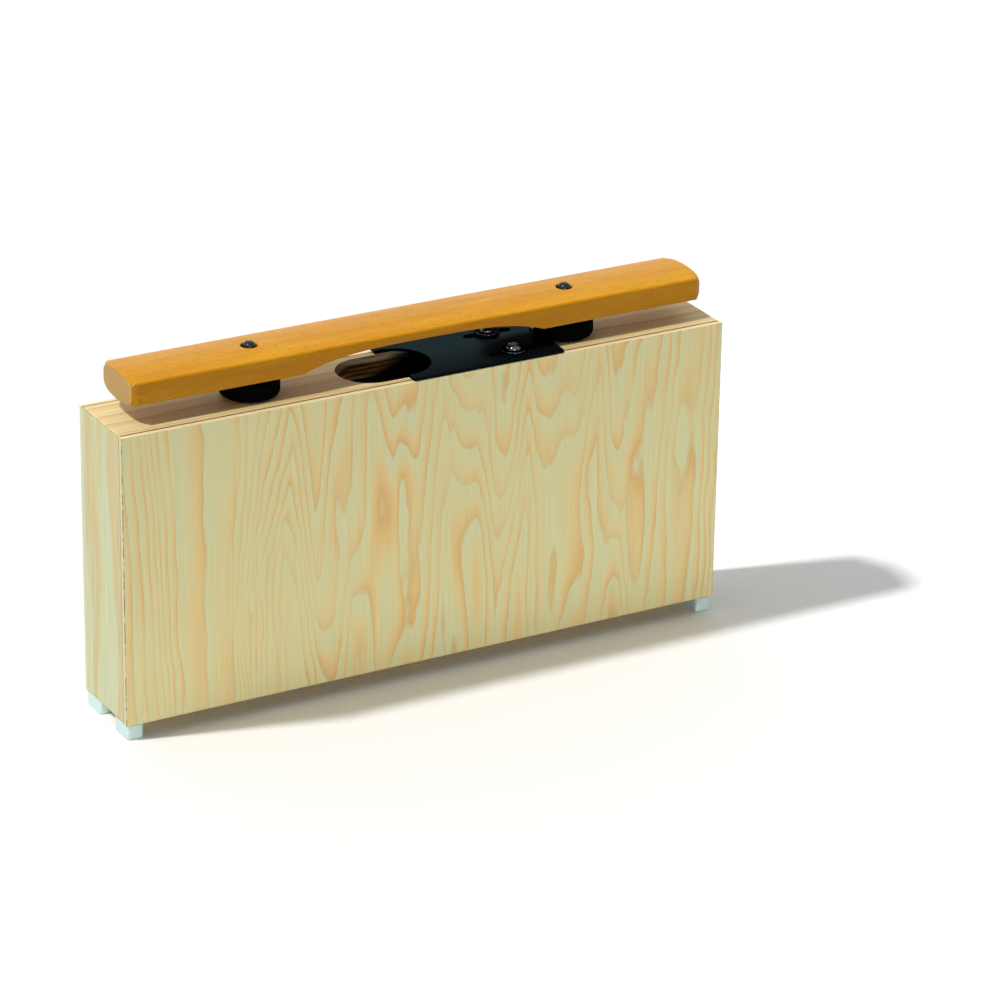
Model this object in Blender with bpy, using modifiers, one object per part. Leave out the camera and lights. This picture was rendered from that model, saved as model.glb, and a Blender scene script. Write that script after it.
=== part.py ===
"""Bass resonator bar: one tuned wooden bar on a closed pine sound box with a tuning slide.

The bar lies on two rubber pads and is kept in place by two sleeved pins at its nodal points.
Under it a sheet-metal slide covers part of the sound hole and tunes the air in the box.
X runs along the bar, Y from the front to the back, Z up; the origin is on the ground, mid box.
"""
import math

import bmesh
import bpy
from mathutils import Matrix, Vector

MM = 0.001

# Fits between pieces
GLUE_LINE = 0.2 * MM
SEAT_GAP = 0.3 * MM
FIT_GAP = 0.2 * MM
CUT_PAST = 2.0 * MM

# Sound box: a mitred frame of four boards between two plywood panels
BOX_LENGTH = 440.0 * MM
BOX_DEPTH = 63.0 * MM
BOX_HEIGHT = 200.0 * MM
PANEL_THICKNESS = 4.0 * MM
BOARD_THICKNESS = 15.0 * MM
CORNER_EASE = 1.2 * MM
PANEL_EASE = 0.6 * MM

# Sound hole in the top board
HOLE_LENGTH = 93.0 * MM
HOLE_TO_INSERT = 21.0 * MM
HOLE_SIDE_WALL = 4.8 * MM

# Rubber feet under the box corners, each held by a screw
FOOT_LENGTH = 12.0 * MM
FOOT_WIDTH = 19.5 * MM
FOOT_HEIGHT = 10.0 * MM
FOOT_INSET = 0.5 * MM
FOOT_CORNER = 2.4 * MM
FOOT_EASE = 0.8 * MM
FOOT_SCREW_DIAMETER = 3.0 * MM
FOOT_SCREW_HEAD = 6.0 * MM
FOOT_SCREW_HEAD_HEIGHT = 2.0 * MM
FOOT_SCREW_RECESS = 3.0 * MM
FOOT_SCREW_REACH = 14.0 * MM

# Rest pads and bar pins at the bar's nodal points
PIN_SPACING = 231.0 * MM
PIN_DIAMETER = 5.0 * MM
PIN_FLOOR = 3.0 * MM
PIN_TIP = 0.8 * MM
SLEEVE_WALL = 1.6 * MM
SLEEVE_CAP = 2.4 * MM
SLEEVE_RISE = 2.6 * MM
SLEEVE_DOME = 3.4 * MM
PAD_DIAMETER = 39.6 * MM
PAD_HEIGHT = 12.0 * MM
PAD_EASE = 3.0 * MM

# Sound bar: crowned top, bellied underside, thinned by a tuning arch in the middle
BAR_LENGTH = 416.6 * MM
BAR_WIDTH = 45.5 * MM
BAR_SIDE = 15.2 * MM
BAR_CROWN = 2.3 * MM
BAR_BELLY = 3.0 * MM
BAR_ARCH_LENGTH = 190.0 * MM
BAR_WAIST = 7.8 * MM
BAR_ARCH_POWER = 3.5
BAR_CORNER_LENGTH = 3.8 * MM
BAR_CORNER_WIDTH = 2.7 * MM
BAR_EASE = 0.8 * MM
BAR_HOLE_CLEARANCE = 1.3 * MM

# Tuning slide and the two screws that clamp it
SLIDE_LENGTH = 111.3 * MM
SLIDE_THICKNESS = 2.0 * MM
SLIDE_PAST_PAD = 3.0 * MM
SLIDE_PAD_CLEARANCE = 1.0 * MM
SLIDE_HORN_WIDTH = 7.5 * MM
SLIDE_HORN_STRAIGHT = 2.0 * MM
SLIDE_CORNER = 1.6 * MM
SLIDE_SLOT_LENGTH = 35.0 * MM
SLIDE_SLOT_CLEARANCE = 0.3 * MM
SLIDE_SCREW_FROM_END = 31.0 * MM
SLIDE_SCREW_FROM_EDGE = 13.5 * MM
SCREW_DIAMETER = 6.0 * MM
SCREW_HEAD = 10.5 * MM
SCREW_HEAD_HEIGHT = 3.3 * MM
SCREW_SOCKET = 4.0 * MM
SCREW_SOCKET_DEPTH = 2.0 * MM
SCREW_TIP = 1.0 * MM
WASHER_DIAMETER = 17.0 * MM
WASHER_THICKNESS = 1.6 * MM
INSERT_WALL = 2.0 * MM
INSERT_FLOOR = 3.0 * MM

# Facets of round shapes, the angles of sharp and flat edges, the weld distance
SHARP_ANGLE = math.radians(30)
FLAT_ANGLE = math.radians(0.01)
WELD = 0.0001 * MM
ROUND_STEPS = 32
SMALL_ROUND_STEPS = 24
PAD_STEPS = 48
HOLE_STEPS = 64
CORNER_STEPS = 4
CROWN_STEPS = 12
ARCH_STEPS = 28
NOTCH_STEPS = 24
HEX_SIDES = 6

# Levels and places that follow from the sizes above
BOX_BOTTOM = FOOT_HEIGHT + GLUE_LINE
BOX_TOP = BOX_BOTTOM + BOX_HEIGHT
BOARD_DEPTH = BOX_DEPTH - 2 * (PANEL_THICKNESS + GLUE_LINE)
PAD_BOTTOM = BOX_TOP + SEAT_GAP
PAD_TOP = PAD_BOTTOM + PAD_HEIGHT
BAR_BOTTOM = PAD_TOP + SEAT_GAP
BAR_THICKNESS = BAR_BELLY + BAR_SIDE + BAR_CROWN
BAR_TOP = BAR_BOTTOM + BAR_THICKNESS
PIN_X = PIN_SPACING / 2
PIN_BOTTOM = BOX_TOP - BOARD_THICKNESS + PIN_FLOOR
SLEEVE_DIAMETER = PIN_DIAMETER + 2 * (FIT_GAP + SLEEVE_WALL)
SLEEVE_BOTTOM = PAD_TOP + SEAT_GAP
SLEEVE_TOP = BAR_TOP + SLEEVE_RISE
PIN_TOP = SLEEVE_TOP - SLEEVE_CAP - SEAT_GAP
BAR_HOLE_DIAMETER = SLEEVE_DIAMETER + 2 * BAR_HOLE_CLEARANCE
SLIDE_BOTTOM = BOX_TOP + SEAT_GAP
SLIDE_TOP = SLIDE_BOTTOM + SLIDE_THICKNESS
SLIDE_RIGHT = PIN_X - PAD_DIAMETER / 2 + SLIDE_PAST_PAD
SLIDE_LEFT = SLIDE_RIGHT - SLIDE_LENGTH
SLIDE_SCREW_X = SLIDE_RIGHT - SLIDE_SCREW_FROM_END
SLIDE_SCREW_Y = BOX_DEPTH / 2 - SLIDE_SCREW_FROM_EDGE
SLOT_WIDTH = SCREW_DIAMETER + 2 * SLIDE_SLOT_CLEARANCE
WASHER_BOTTOM = SLIDE_TOP + SEAT_GAP
HEAD_BOTTOM = WASHER_BOTTOM + WASHER_THICKNESS + SEAT_GAP
INSERT_BOTTOM = BOX_TOP - BOARD_THICKNESS + INSERT_FLOOR
INSERT_DIAMETER = SCREW_DIAMETER + 2 * (FIT_GAP + INSERT_WALL)
HOLE_CENTRE_X = SLIDE_SCREW_X - INSERT_DIAMETER / 2 - HOLE_TO_INSERT - HOLE_LENGTH / 2
FOOT_X = BOX_LENGTH / 2 - FOOT_INSET - FOOT_LENGTH / 2
FOOT_Y = BOX_DEPTH / 2 - FOOT_INSET - FOOT_WIDTH / 2
FOOT_SCREW_TOP = BOX_BOTTOM + FOOT_SCREW_REACH

# Turns that carry a flat outline (u, v) and its thickness into the model
FLAT = Matrix.Identity(4)
ALONG_Y = Matrix(((1, 0, 0, 0), (0, 0, -1, 0), (0, 1, 0, 0), (0, 0, 0, 1)))
ALONG_X = Matrix(((0, 0, 1, 0), (1, 0, 0, 0), (0, 1, 0, 0), (0, 0, 0, 1)))


def clear_scene():
    for old in list(bpy.data.objects):
        bpy.data.objects.remove(old, do_unlink=True)


def new_collection(name):
    collection = bpy.data.collections.new(name)
    bpy.context.scene.collection.children.link(collection)
    return collection


def linear(hex_colour):
    channels = [int(hex_colour[i:i + 2], 16) / 255 for i in (1, 3, 5)]
    return [c / 12.92 if c <= 0.04045 else ((c + 0.055) / 1.055) ** 2.4 for c in channels] + [1.0]


def finish(name, hex_colour, roughness, metallic=0.0):
    material = bpy.data.materials.new(name)
    material.use_nodes = True
    shader = material.node_tree.nodes["Principled BSDF"]
    shader.inputs["Base Color"].default_value = linear(hex_colour)
    shader.inputs["Roughness"].default_value = roughness
    shader.inputs["Metallic"].default_value = metallic
    return material


def arc(centre, radius, start, end, steps):
    """Points on a circle from one angle to another, in degrees, both ends included."""
    points = []
    for i in range(steps + 1):
        angle = math.radians(start + (end - start) * i / steps)
        points.append((centre[0] + radius * math.cos(angle), centre[1] + radius * math.sin(angle)))
    return points


def bowed_edge(half_width, level, rise, steps):
    """Points of a shallow circular edge from +half_width to -half_width that rises in the middle."""
    radius = (half_width ** 2 + rise ** 2) / (2 * rise)
    spread = math.degrees(math.asin(half_width / radius))
    return arc((0, level + rise - radius), radius, 90 - spread, 90 + spread, steps)


def stadium(length, width, centre, steps):
    """Slot outline with round ends, its length along u; its two ends share the steps of one turn."""
    radius = width / 2
    reach = length / 2 - radius
    right = arc((centre[0] + reach, centre[1]), radius, -90, 90, steps // 2)
    left = arc((centre[0] - reach, centre[1]), radius, 90, 270, steps // 2)
    return right + left


def rounded_rectangle(length, width, radius):
    u, v = length / 2 - radius, width / 2 - radius
    outline = []
    for centre, start in (((u, -v), -90), ((u, v), 0), ((-u, v), 90), ((-u, -v), 180)):
        outline += arc(centre, radius, start, start + 90, CORNER_STEPS)
    return outline


def extruded(name, outlines, thickness, turn=FLAT):
    """Mesh of a flat outline given a thickness about its own plane; further outlines are holes."""
    curve = bpy.data.curves.new(name, "CURVE")
    curve.dimensions = "2D"
    curve.fill_mode = "BOTH"
    curve.extrude = thickness / 2
    for outline in outlines:
        spline = curve.splines.new("POLY")
        spline.points.add(len(outline) - 1)
        for point, (u, v) in zip(spline.points, outline):
            point.co = (u, v, 0, 1)
        spline.use_cyclic_u = True
    flat = bpy.data.objects.new(name + "_outline", curve)
    bpy.context.scene.collection.objects.link(flat)
    bpy.context.view_layer.update()
    evaluated = flat.evaluated_get(bpy.context.evaluated_depsgraph_get())
    mesh = bpy.data.meshes.new_from_object(evaluated)
    bpy.data.objects.remove(flat, do_unlink=True)
    bpy.data.curves.remove(curve)
    work = bmesh.new()
    work.from_mesh(mesh)
    bmesh.ops.remove_doubles(work, verts=work.verts, dist=WELD)
    bmesh.ops.dissolve_limit(work, angle_limit=FLAT_ANGLE, verts=work.verts, edges=work.edges)
    bmesh.ops.transform(work, matrix=turn, verts=work.verts)
    bmesh.ops.recalc_face_normals(work, faces=work.faces)
    work.to_mesh(mesh)
    work.free()
    mesh.name = name
    return mesh


def place(name, mesh, collection, material=None, location=(0, 0, 0)):
    piece = bpy.data.objects.new(name, mesh)
    piece.location = location
    collection.objects.link(piece)
    if material:
        mesh.materials.clear()
        mesh.materials.append(material)
        piece.parent = ASSEMBLY
    return piece


def turned(name, profile, collection, material=None, location=(0, 0, 0), closed=False, steps=ROUND_STEPS):
    """Piece turned about its own Z axis; the profile (radius, height) runs down its outer side."""
    mesh = bpy.data.meshes.new(name)
    edges = [(i, i + 1) for i in range(len(profile) - 1)]
    if closed:
        edges.append((len(profile) - 1, 0))
    mesh.from_pydata([(r, 0, z) for r, z in profile], edges, [])
    piece = place(name, mesh, collection, material, location)
    screw = piece.modifiers.new("turn", "SCREW")
    screw.axis = "Z"
    screw.steps = steps
    screw.render_steps = steps
    screw.use_merge_vertices = True
    screw.merge_threshold = WELD
    screw.use_smooth_shade = True
    return piece


def ease(piece, width):
    """Small rounding along every sharp edge."""
    bevel = piece.modifiers.new("ease", "BEVEL")
    bevel.width = width
    bevel.segments = 2
    bevel.limit_method = "ANGLE"
    bevel.angle_limit = SHARP_ANGLE


def as_cutter(cutter):
    cutter.hide_render = True
    cutter.display_type = "WIRE"
    return cutter


def cut(piece, cutter, operation="DIFFERENCE"):
    boolean = piece.modifiers.new(cutter.name, "BOOLEAN")
    boolean.operation = operation
    boolean.solver = "EXACT"
    boolean.object = cutter


def drill(name, diameter, bottom, top, x, y):
    """Cutter for a round hole between two levels."""
    profile = [(0, top), (diameter / 2, top), (diameter / 2, bottom), (0, bottom)]
    hole = turned(name, profile, CUTTERS, location=(x, y, 0), steps=SMALL_ROUND_STEPS)
    return as_cutter(hole)


def plate_solid(name, size, material, location):
    bpy.ops.mesh.primitive_cube_add(size=1, location=location)
    piece = bpy.context.active_object
    piece.name = piece.data.name = name
    for vertex in piece.data.vertices:
        vertex.co = Vector(a * b for a, b in zip(vertex.co, size))
    for holder in list(piece.users_collection):
        holder.objects.unlink(piece)
    PARTS.objects.link(piece)
    piece.data.materials.append(material)
    piece.parent = ASSEMBLY
    return piece


def mitred_outline(length):
    """Board outline seen edge on: outer face on v = 0, ends mitred inward, outer corners eased."""
    shift = GLUE_LINE * math.sqrt(0.5)
    tip = (CORNER_EASE - shift) / 2
    half = [
        (length / 2 - BOARD_THICKNESS - shift, -BOARD_THICKNESS),
        (length / 2 - CORNER_EASE + tip, -tip),
        (length / 2 - CORNER_EASE, 0),
    ]
    return half + [(-u, v) for u, v in reversed(half)]


def build_frame(pine):
    """Four mitred boards round the air space; returns them by name."""
    middle = (BOX_BOTTOM + BOX_TOP) / 2
    boards = {}
    sides = (
        ("top_board", BOX_LENGTH, BOX_HEIGHT, 0),
        ("left_end_board", BOX_HEIGHT, BOX_LENGTH, 90),
        ("bottom_board", BOX_LENGTH, BOX_HEIGHT, 180),
        ("right_end_board", BOX_HEIGHT, BOX_LENGTH, 270),
    )
    for name, length, across, angle in sides:
        raised = [(u, v + across / 2) for u, v in mitred_outline(length)]
        spin = Matrix.Rotation(math.radians(angle), 4, "Z")
        mesh = extruded(name, [raised], BOARD_DEPTH, ALONG_Y @ spin)
        boards[name] = place(name, mesh, PARTS, pine, (0, 0, middle))
    return boards


def build_panels(plywood):
    y = BOX_DEPTH / 2 - PANEL_THICKNESS / 2
    size = (BOX_LENGTH, PANEL_THICKNESS, BOX_HEIGHT)
    for name, side in (("front_panel", -1), ("back_panel", 1)):
        panel = plate_solid(name, size, plywood, (0, side * y, (BOX_BOTTOM + BOX_TOP) / 2))
        ease(panel, PANEL_EASE)


def cut_sound_hole(top_board):
    """Oblong sound hole with round ends through the top board."""
    width = BOARD_DEPTH - 2 * HOLE_SIDE_WALL
    depth = BOARD_THICKNESS + 2 * CUT_PAST
    outline = stadium(HOLE_LENGTH, width, (HOLE_CENTRE_X, 0), HOLE_STEPS)
    shaft = place("sound_hole", extruded("sound_hole", [outline], depth), CUTTERS)
    shaft.location.z = BOX_TOP - BOARD_THICKNESS / 2
    cut(top_board, as_cutter(shaft))


def build_feet(rubber, steel, boards):
    head_top = FOOT_SCREW_RECESS + FOOT_SCREW_HEAD_HEIGHT
    shank = FOOT_SCREW_DIAMETER / 2
    head = FOOT_SCREW_HEAD / 2
    screw_profile = [
        (0, FOOT_SCREW_TOP),
        (shank, FOOT_SCREW_TOP - shank),
        (shank, head_top),
        (head, head_top),
        (head, FOOT_SCREW_RECESS),
        (0, FOOT_SCREW_RECESS),
    ]
    bore_profile = [
        (0, FOOT_HEIGHT + CUT_PAST),
        (shank + FIT_GAP, FOOT_HEIGHT + CUT_PAST),
        (shank + FIT_GAP, head_top + SEAT_GAP),
        (head + FIT_GAP, head_top + SEAT_GAP),
        (head + FIT_GAP, -CUT_PAST),
        (0, -CUT_PAST),
    ]
    outline = rounded_rectangle(FOOT_LENGTH, FOOT_WIDTH, FOOT_CORNER)
    for along, x in (("left", -FOOT_X), ("right", FOOT_X)):
        for across, y in (("front", -FOOT_Y), ("rear", FOOT_Y)):
            corner = across + "_" + along
            mesh = extruded(corner + "_foot", [outline], FOOT_HEIGHT)
            foot = place(corner + "_foot", mesh, PARTS, rubber, (x, y, FOOT_HEIGHT / 2))
            ease(foot, FOOT_EASE)
            spot = (x, y, 0)
            bore = turned(corner + "_foot_bore", bore_profile, CUTTERS, None, spot, steps=SMALL_ROUND_STEPS)
            cut(foot, as_cutter(bore))
            turned(corner + "_foot_screw", screw_profile, PARTS, steel, spot, steps=SMALL_ROUND_STEPS)
            pilot_size = FOOT_SCREW_DIAMETER + 2 * FIT_GAP
            pilot_top = FOOT_SCREW_TOP + SEAT_GAP
            pilot = drill(corner + "_pilot", pilot_size, BOX_BOTTOM - CUT_PAST, pilot_top, x, y)
            cut(boards["bottom_board"], pilot)
            cut(boards[along + "_end_board"], pilot)


def build_rests(rubber, steel, top_board):
    """Pads, pins and pin sleeves under and in the bar."""
    bore = PIN_DIAMETER / 2 + FIT_GAP
    rim = PAD_DIAMETER / 2
    upper = arc((rim - PAD_EASE, PAD_TOP - PAD_EASE), PAD_EASE, 90, 0, CORNER_STEPS)
    lower = arc((rim - PAD_EASE, PAD_BOTTOM + PAD_EASE), PAD_EASE, 0, -90, CORNER_STEPS)
    pad_profile = [(bore, PAD_TOP)] + upper + lower + [(bore, PAD_BOTTOM)]
    radius = PIN_DIAMETER / 2
    pin_profile = [
        (0, PIN_TOP),
        (radius - PIN_TIP, PIN_TOP),
        (radius, PIN_TOP - PIN_TIP),
        (radius, PIN_BOTTOM + PIN_TIP),
        (radius - PIN_TIP, PIN_BOTTOM),
        (0, PIN_BOTTOM),
    ]
    outer = SLEEVE_DIAMETER / 2
    dome = []
    for across, down in arc((0, 0), 1, 90, 0, 2 * CORNER_STEPS):
        dome.append((outer * across, SLEEVE_TOP - SLEEVE_DOME * (1 - down)))
    dome[0] = (0, SLEEVE_TOP)
    cavity_top = PIN_TOP + SEAT_GAP
    cavity = [(bore, SLEEVE_BOTTOM), (bore, cavity_top), (0, cavity_top)]
    sleeve_profile = dome + [(outer, SLEEVE_BOTTOM)] + cavity
    for side, x in (("left", -PIN_X), ("right", PIN_X)):
        spot = (x, 0, 0)
        turned(side + "_rest_pad", pad_profile, PARTS, rubber, spot, closed=True, steps=PAD_STEPS)
        turned(side + "_bar_pin", pin_profile, PARTS, steel, spot, steps=SMALL_ROUND_STEPS)
        turned(side + "_pin_sleeve", sleeve_profile, PARTS, rubber, spot, steps=SMALL_ROUND_STEPS)
        pin_hole = drill(side + "_pin_hole", 2 * bore, PIN_BOTTOM - SEAT_GAP, BOX_TOP + CUT_PAST, x, 0)
        cut(top_board, pin_hole)


def build_bar(hardwood):
    """Bar of constant section, its end corners cut off, a flat arch under its middle, holes at its nodes."""
    half = BAR_WIDTH / 2
    crown = bowed_edge(half, BAR_BELLY + BAR_SIDE, BAR_CROWN, CROWN_STEPS)
    belly = [(-y, BAR_BELLY - z) for y, z in bowed_edge(half, 0, BAR_BELLY, CROWN_STEPS)]
    blank = extruded("sound_bar", [crown + belly], BAR_LENGTH + 2 * CUT_PAST, ALONG_X)
    bar = place("sound_bar", blank, PARTS, hardwood, (0, 0, BAR_BOTTOM))

    corner = [
        (BAR_LENGTH / 2, half - BAR_CORNER_WIDTH),
        (BAR_LENGTH / 2 - 2 * BAR_CORNER_LENGTH, half + BAR_CORNER_WIDTH),
    ]
    plan = corner + [(-x, y) for x, y in reversed(corner)]
    plan += [(-x, -y) for x, y in plan]
    depth = BAR_THICKNESS + 2 * CUT_PAST
    outline = place("bar_plan", extruded("bar_plan", [plan], depth), CUTTERS)
    outline.location.z = BAR_BOTTOM + BAR_THICKNESS / 2
    cut(bar, as_cutter(outline), "INTERSECT")
    ease(bar, BAR_EASE)

    depth = BAR_THICKNESS - BAR_WAIST
    rise = []
    for i in range(ARCH_STEPS + 1):
        share = math.sin(math.pi * (i / ARCH_STEPS - 0.5))
        height = depth * (1 - abs(share) ** BAR_ARCH_POWER)
        rise.append((BAR_ARCH_LENGTH / 2 * share, height))
    below = [(BAR_ARCH_LENGTH / 2, -CUT_PAST), (-BAR_ARCH_LENGTH / 2, -CUT_PAST)]
    across = BAR_WIDTH + 2 * CUT_PAST
    arch = place("bar_arch", extruded("bar_arch", [rise + below], across, ALONG_Y), CUTTERS)
    arch.location.z = BAR_BOTTOM
    cut(bar, as_cutter(arch))

    for side, x in (("left", -PIN_X), ("right", PIN_X)):
        low, high = BAR_BOTTOM - CUT_PAST, BAR_TOP + CUT_PAST
        cut(bar, drill(side + "_bar_hole", BAR_HOLE_DIAMETER, low, high, x, 0))


def slide_outline():
    """Plate outline: round notch at the sound hole, shallow hollow round the right pad."""
    edge = BOX_DEPTH / 2
    notch = edge - SLIDE_HORN_WIDTH
    notch_x = SLIDE_LEFT + SLIDE_HORN_STRAIGHT
    hollow = PAD_DIAMETER / 2 + SLIDE_PAD_CLEARANCE
    reach = math.degrees(math.acos((PIN_X - SLIDE_RIGHT) / hollow))
    left, right = SLIDE_LEFT + SLIDE_CORNER, SLIDE_RIGHT - SLIDE_CORNER
    front, rear = -edge + SLIDE_CORNER, edge - SLIDE_CORNER
    outline = arc((left, front), SLIDE_CORNER, 180, 270, CORNER_STEPS)
    outline += arc((right, front), SLIDE_CORNER, 270, 360, CORNER_STEPS)
    outline += arc((PIN_X, 0), hollow, 180 + reach, 180 - reach, NOTCH_STEPS // 2)
    outline += arc((right, rear), SLIDE_CORNER, 0, 90, CORNER_STEPS)
    outline += arc((left, rear), SLIDE_CORNER, 90, 180, CORNER_STEPS)
    outline += [(SLIDE_LEFT, notch)]
    outline += arc((notch_x, 0), notch, 90, -90, NOTCH_STEPS)
    outline += [(SLIDE_LEFT, -notch)]
    return outline


def build_slide(black_steel, steel, brass, top_board):
    """Slotted plate with, at each slot, a button screw, a broad washer and a threaded insert."""
    spots = (("front", -SLIDE_SCREW_Y), ("rear", SLIDE_SCREW_Y))
    slots = []
    for _, y in spots:
        slots.append(stadium(SLIDE_SLOT_LENGTH, SLOT_WIDTH, (SLIDE_SCREW_X, y), SMALL_ROUND_STEPS))
    mesh = extruded("tuning_slide", [slide_outline()] + slots, SLIDE_THICKNESS)
    place("tuning_slide", mesh, PARTS, black_steel, (0, 0, (SLIDE_BOTTOM + SLIDE_TOP) / 2))

    shank = SCREW_DIAMETER / 2
    bore = shank + FIT_GAP
    head = SCREW_HEAD / 2
    tip = INSERT_BOTTOM + SEAT_GAP
    dome = []
    for across, up in arc((0, 0), 1, 90, 0, 2 * CORNER_STEPS):
        dome.append((head * across, HEAD_BOTTOM + SCREW_HEAD_HEIGHT * up))
    dome[0] = (0, HEAD_BOTTOM + SCREW_HEAD_HEIGHT)
    shaft = [(shank, HEAD_BOTTOM), (shank, tip + SCREW_TIP), (shank - SCREW_TIP, tip), (0, tip)]
    screw_profile = dome + shaft
    socket_top, socket_floor = dome[0][1] + CUT_PAST, dome[0][1] - SCREW_SOCKET_DEPTH
    flats = SCREW_SOCKET / 2 / math.cos(math.pi / HEX_SIDES)
    socket_profile = [(0, socket_top), (flats, socket_top), (flats, socket_floor), (0, socket_floor)]
    washer_top = WASHER_BOTTOM + WASHER_THICKNESS
    rim = WASHER_DIAMETER / 2
    washer_profile = [(bore, washer_top), (rim, washer_top), (rim, WASHER_BOTTOM), (bore, WASHER_BOTTOM)]
    insert_top = BOX_TOP - SEAT_GAP
    wall = INSERT_DIAMETER / 2
    insert_profile = [(bore, insert_top), (wall, insert_top), (wall, INSERT_BOTTOM), (bore, INSERT_BOTTOM)]
    for side, y in spots:
        spot = (SLIDE_SCREW_X, y, 0)
        screw = turned(side + "_slide_screw", screw_profile, PARTS, steel, spot)
        socket = turned(side + "_socket", socket_profile, CUTTERS, None, spot, steps=HEX_SIDES)
        cut(screw, as_cutter(socket))
        turned(side + "_slide_washer", washer_profile, PARTS, steel, spot, closed=True)
        turned(side + "_threaded_insert", insert_profile, PARTS, brass, spot, closed=True)
        hole_size = INSERT_DIAMETER + 2 * FIT_GAP
        low, high = INSERT_BOTTOM - SEAT_GAP, BOX_TOP + CUT_PAST
        cut(top_board, drill(side + "_insert_hole", hole_size, low, high, SLIDE_SCREW_X, y))


clear_scene()
PARTS = new_collection("resonator_bar")
CUTTERS = new_collection("cutters")
ASSEMBLY = bpy.data.objects.new("resonator_bar_origin", None)
PARTS.objects.link(ASSEMBLY)

PINE = finish("pine_board", "#F0D9A4", 0.5)
PLYWOOD = finish("pine_plywood", "#DCCB98", 0.5)
HARDWOOD = finish("varnished_hardwood", "#D6922F", 0.35)
BLACK_RUBBER = finish("black_rubber", "#141516", 0.7)
PALE_RUBBER = finish("pale_rubber", "#CFE6E4", 0.6)
BLACK_STEEL = finish("black_painted_steel", "#1C2526", 0.4, 0.3)
ZINC = finish("zinc_plated_steel", "#B9BDC0", 0.3, 1.0)
BRASS = finish("brass_insert", "#C6A24E", 0.35, 1.0)

FRAME = build_frame(PINE)
build_panels(PLYWOOD)
cut_sound_hole(FRAME["top_board"])
build_feet(PALE_RUBBER, ZINC, FRAME)
build_rests(BLACK_RUBBER, ZINC, FRAME["top_board"])
build_bar(HARDWOOD)
build_slide(BLACK_STEEL, ZINC, BRASS, FRAME["top_board"])
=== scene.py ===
# %% [markdown]
# # A bass resonator bar
# One tuned bar lies on rubber pads over a closed pine sound box. A steel slide under the bar
# tunes the air in the box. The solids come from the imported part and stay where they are. This
# lesson photographs them: camera, light, finishes, and finer pieces for what shows up close.

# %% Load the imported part
import math

import bmesh
import bpy
from mathutils import Matrix, Vector


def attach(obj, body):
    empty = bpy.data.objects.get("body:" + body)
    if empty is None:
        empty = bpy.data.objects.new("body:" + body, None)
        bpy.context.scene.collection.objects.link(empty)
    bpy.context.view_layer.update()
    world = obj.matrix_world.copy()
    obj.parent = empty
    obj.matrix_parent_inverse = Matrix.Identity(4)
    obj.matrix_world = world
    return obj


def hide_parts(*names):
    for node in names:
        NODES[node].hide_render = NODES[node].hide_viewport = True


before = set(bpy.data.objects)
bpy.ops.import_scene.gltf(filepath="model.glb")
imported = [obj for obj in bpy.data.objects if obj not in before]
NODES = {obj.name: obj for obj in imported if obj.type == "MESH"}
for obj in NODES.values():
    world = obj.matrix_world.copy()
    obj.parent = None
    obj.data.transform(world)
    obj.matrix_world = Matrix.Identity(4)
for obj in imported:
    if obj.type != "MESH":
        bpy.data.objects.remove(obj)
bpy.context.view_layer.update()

MM = 0.001

# %% [markdown]
# ## Camera
# A picture taken from far away with a long lens keeps upright edges nearly parallel. The camera
# stands to the left of the front, looks down a little and is rolled by about one degree. It
# could be aimed with a Track To constraint, but that leaves no roll. So the place and the angles
# are set as numbers, and every edge falls where it should in the frame.

# %% Camera
CAMERA_PLACE = Vector((-1.32442, -2.45199, 1.32426))
CAMERA_AZIMUTH, CAMERA_ELEVATION, CAMERA_ROLL = -29.622, 23.480, 0.964
CAMERA_LENS, CAMERA_FAR = 166.29, 50


def camera_turn(azimuth, elevation, roll):
    """Turn of a camera that looks at the object from an azimuth and an elevation, in degrees."""
    turn = Matrix.Rotation(math.radians(azimuth), 4, "Z")
    tilt = Matrix.Rotation(math.radians(90 - elevation), 4, "X")
    return turn @ tilt @ Matrix.Rotation(math.radians(roll), 4, "Z")


camera = bpy.data.objects.new("camera", bpy.data.cameras.new("camera"))
bpy.context.scene.collection.objects.link(camera)
camera.data.lens, camera.data.clip_end = CAMERA_LENS, CAMERA_FAR
camera.matrix_world = Matrix.Translation(CAMERA_PLACE) @ camera_turn(
    CAMERA_AZIMUTH, CAMERA_ELEVATION, CAMERA_ROLL)
bpy.context.scene.camera = camera
bpy.context.scene.view_settings.view_transform = "Standard"
print("camera at", [round(c, 3) for c in camera.location])

# %% [markdown]
# ## Colours and nodes
# Colours are picked as sRGB hex values, which is how they look on a screen, while shaders count
# in linear light. One function converts them. Another adds a shader node, fills its sockets
# with numbers or links, and sets the stops of a ramp or the points of a curve. Sockets that
# share a name are called by number: a Mix has its factor at 0 and its two colours at 6 and 7. A
# Map Range has its value at 0, the range it comes from at 1 and 2, and the new one at 3 and 4.

# %% Colour and node helpers
def srgb(code):
    channels = [int(code[i:i + 2], 16) / 255 for i in (1, 3, 5)]
    return [c / 12.92 if c <= 0.04045 else ((c + 0.055) / 1.055) ** 2.4 for c in channels] + [1.0]


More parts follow.
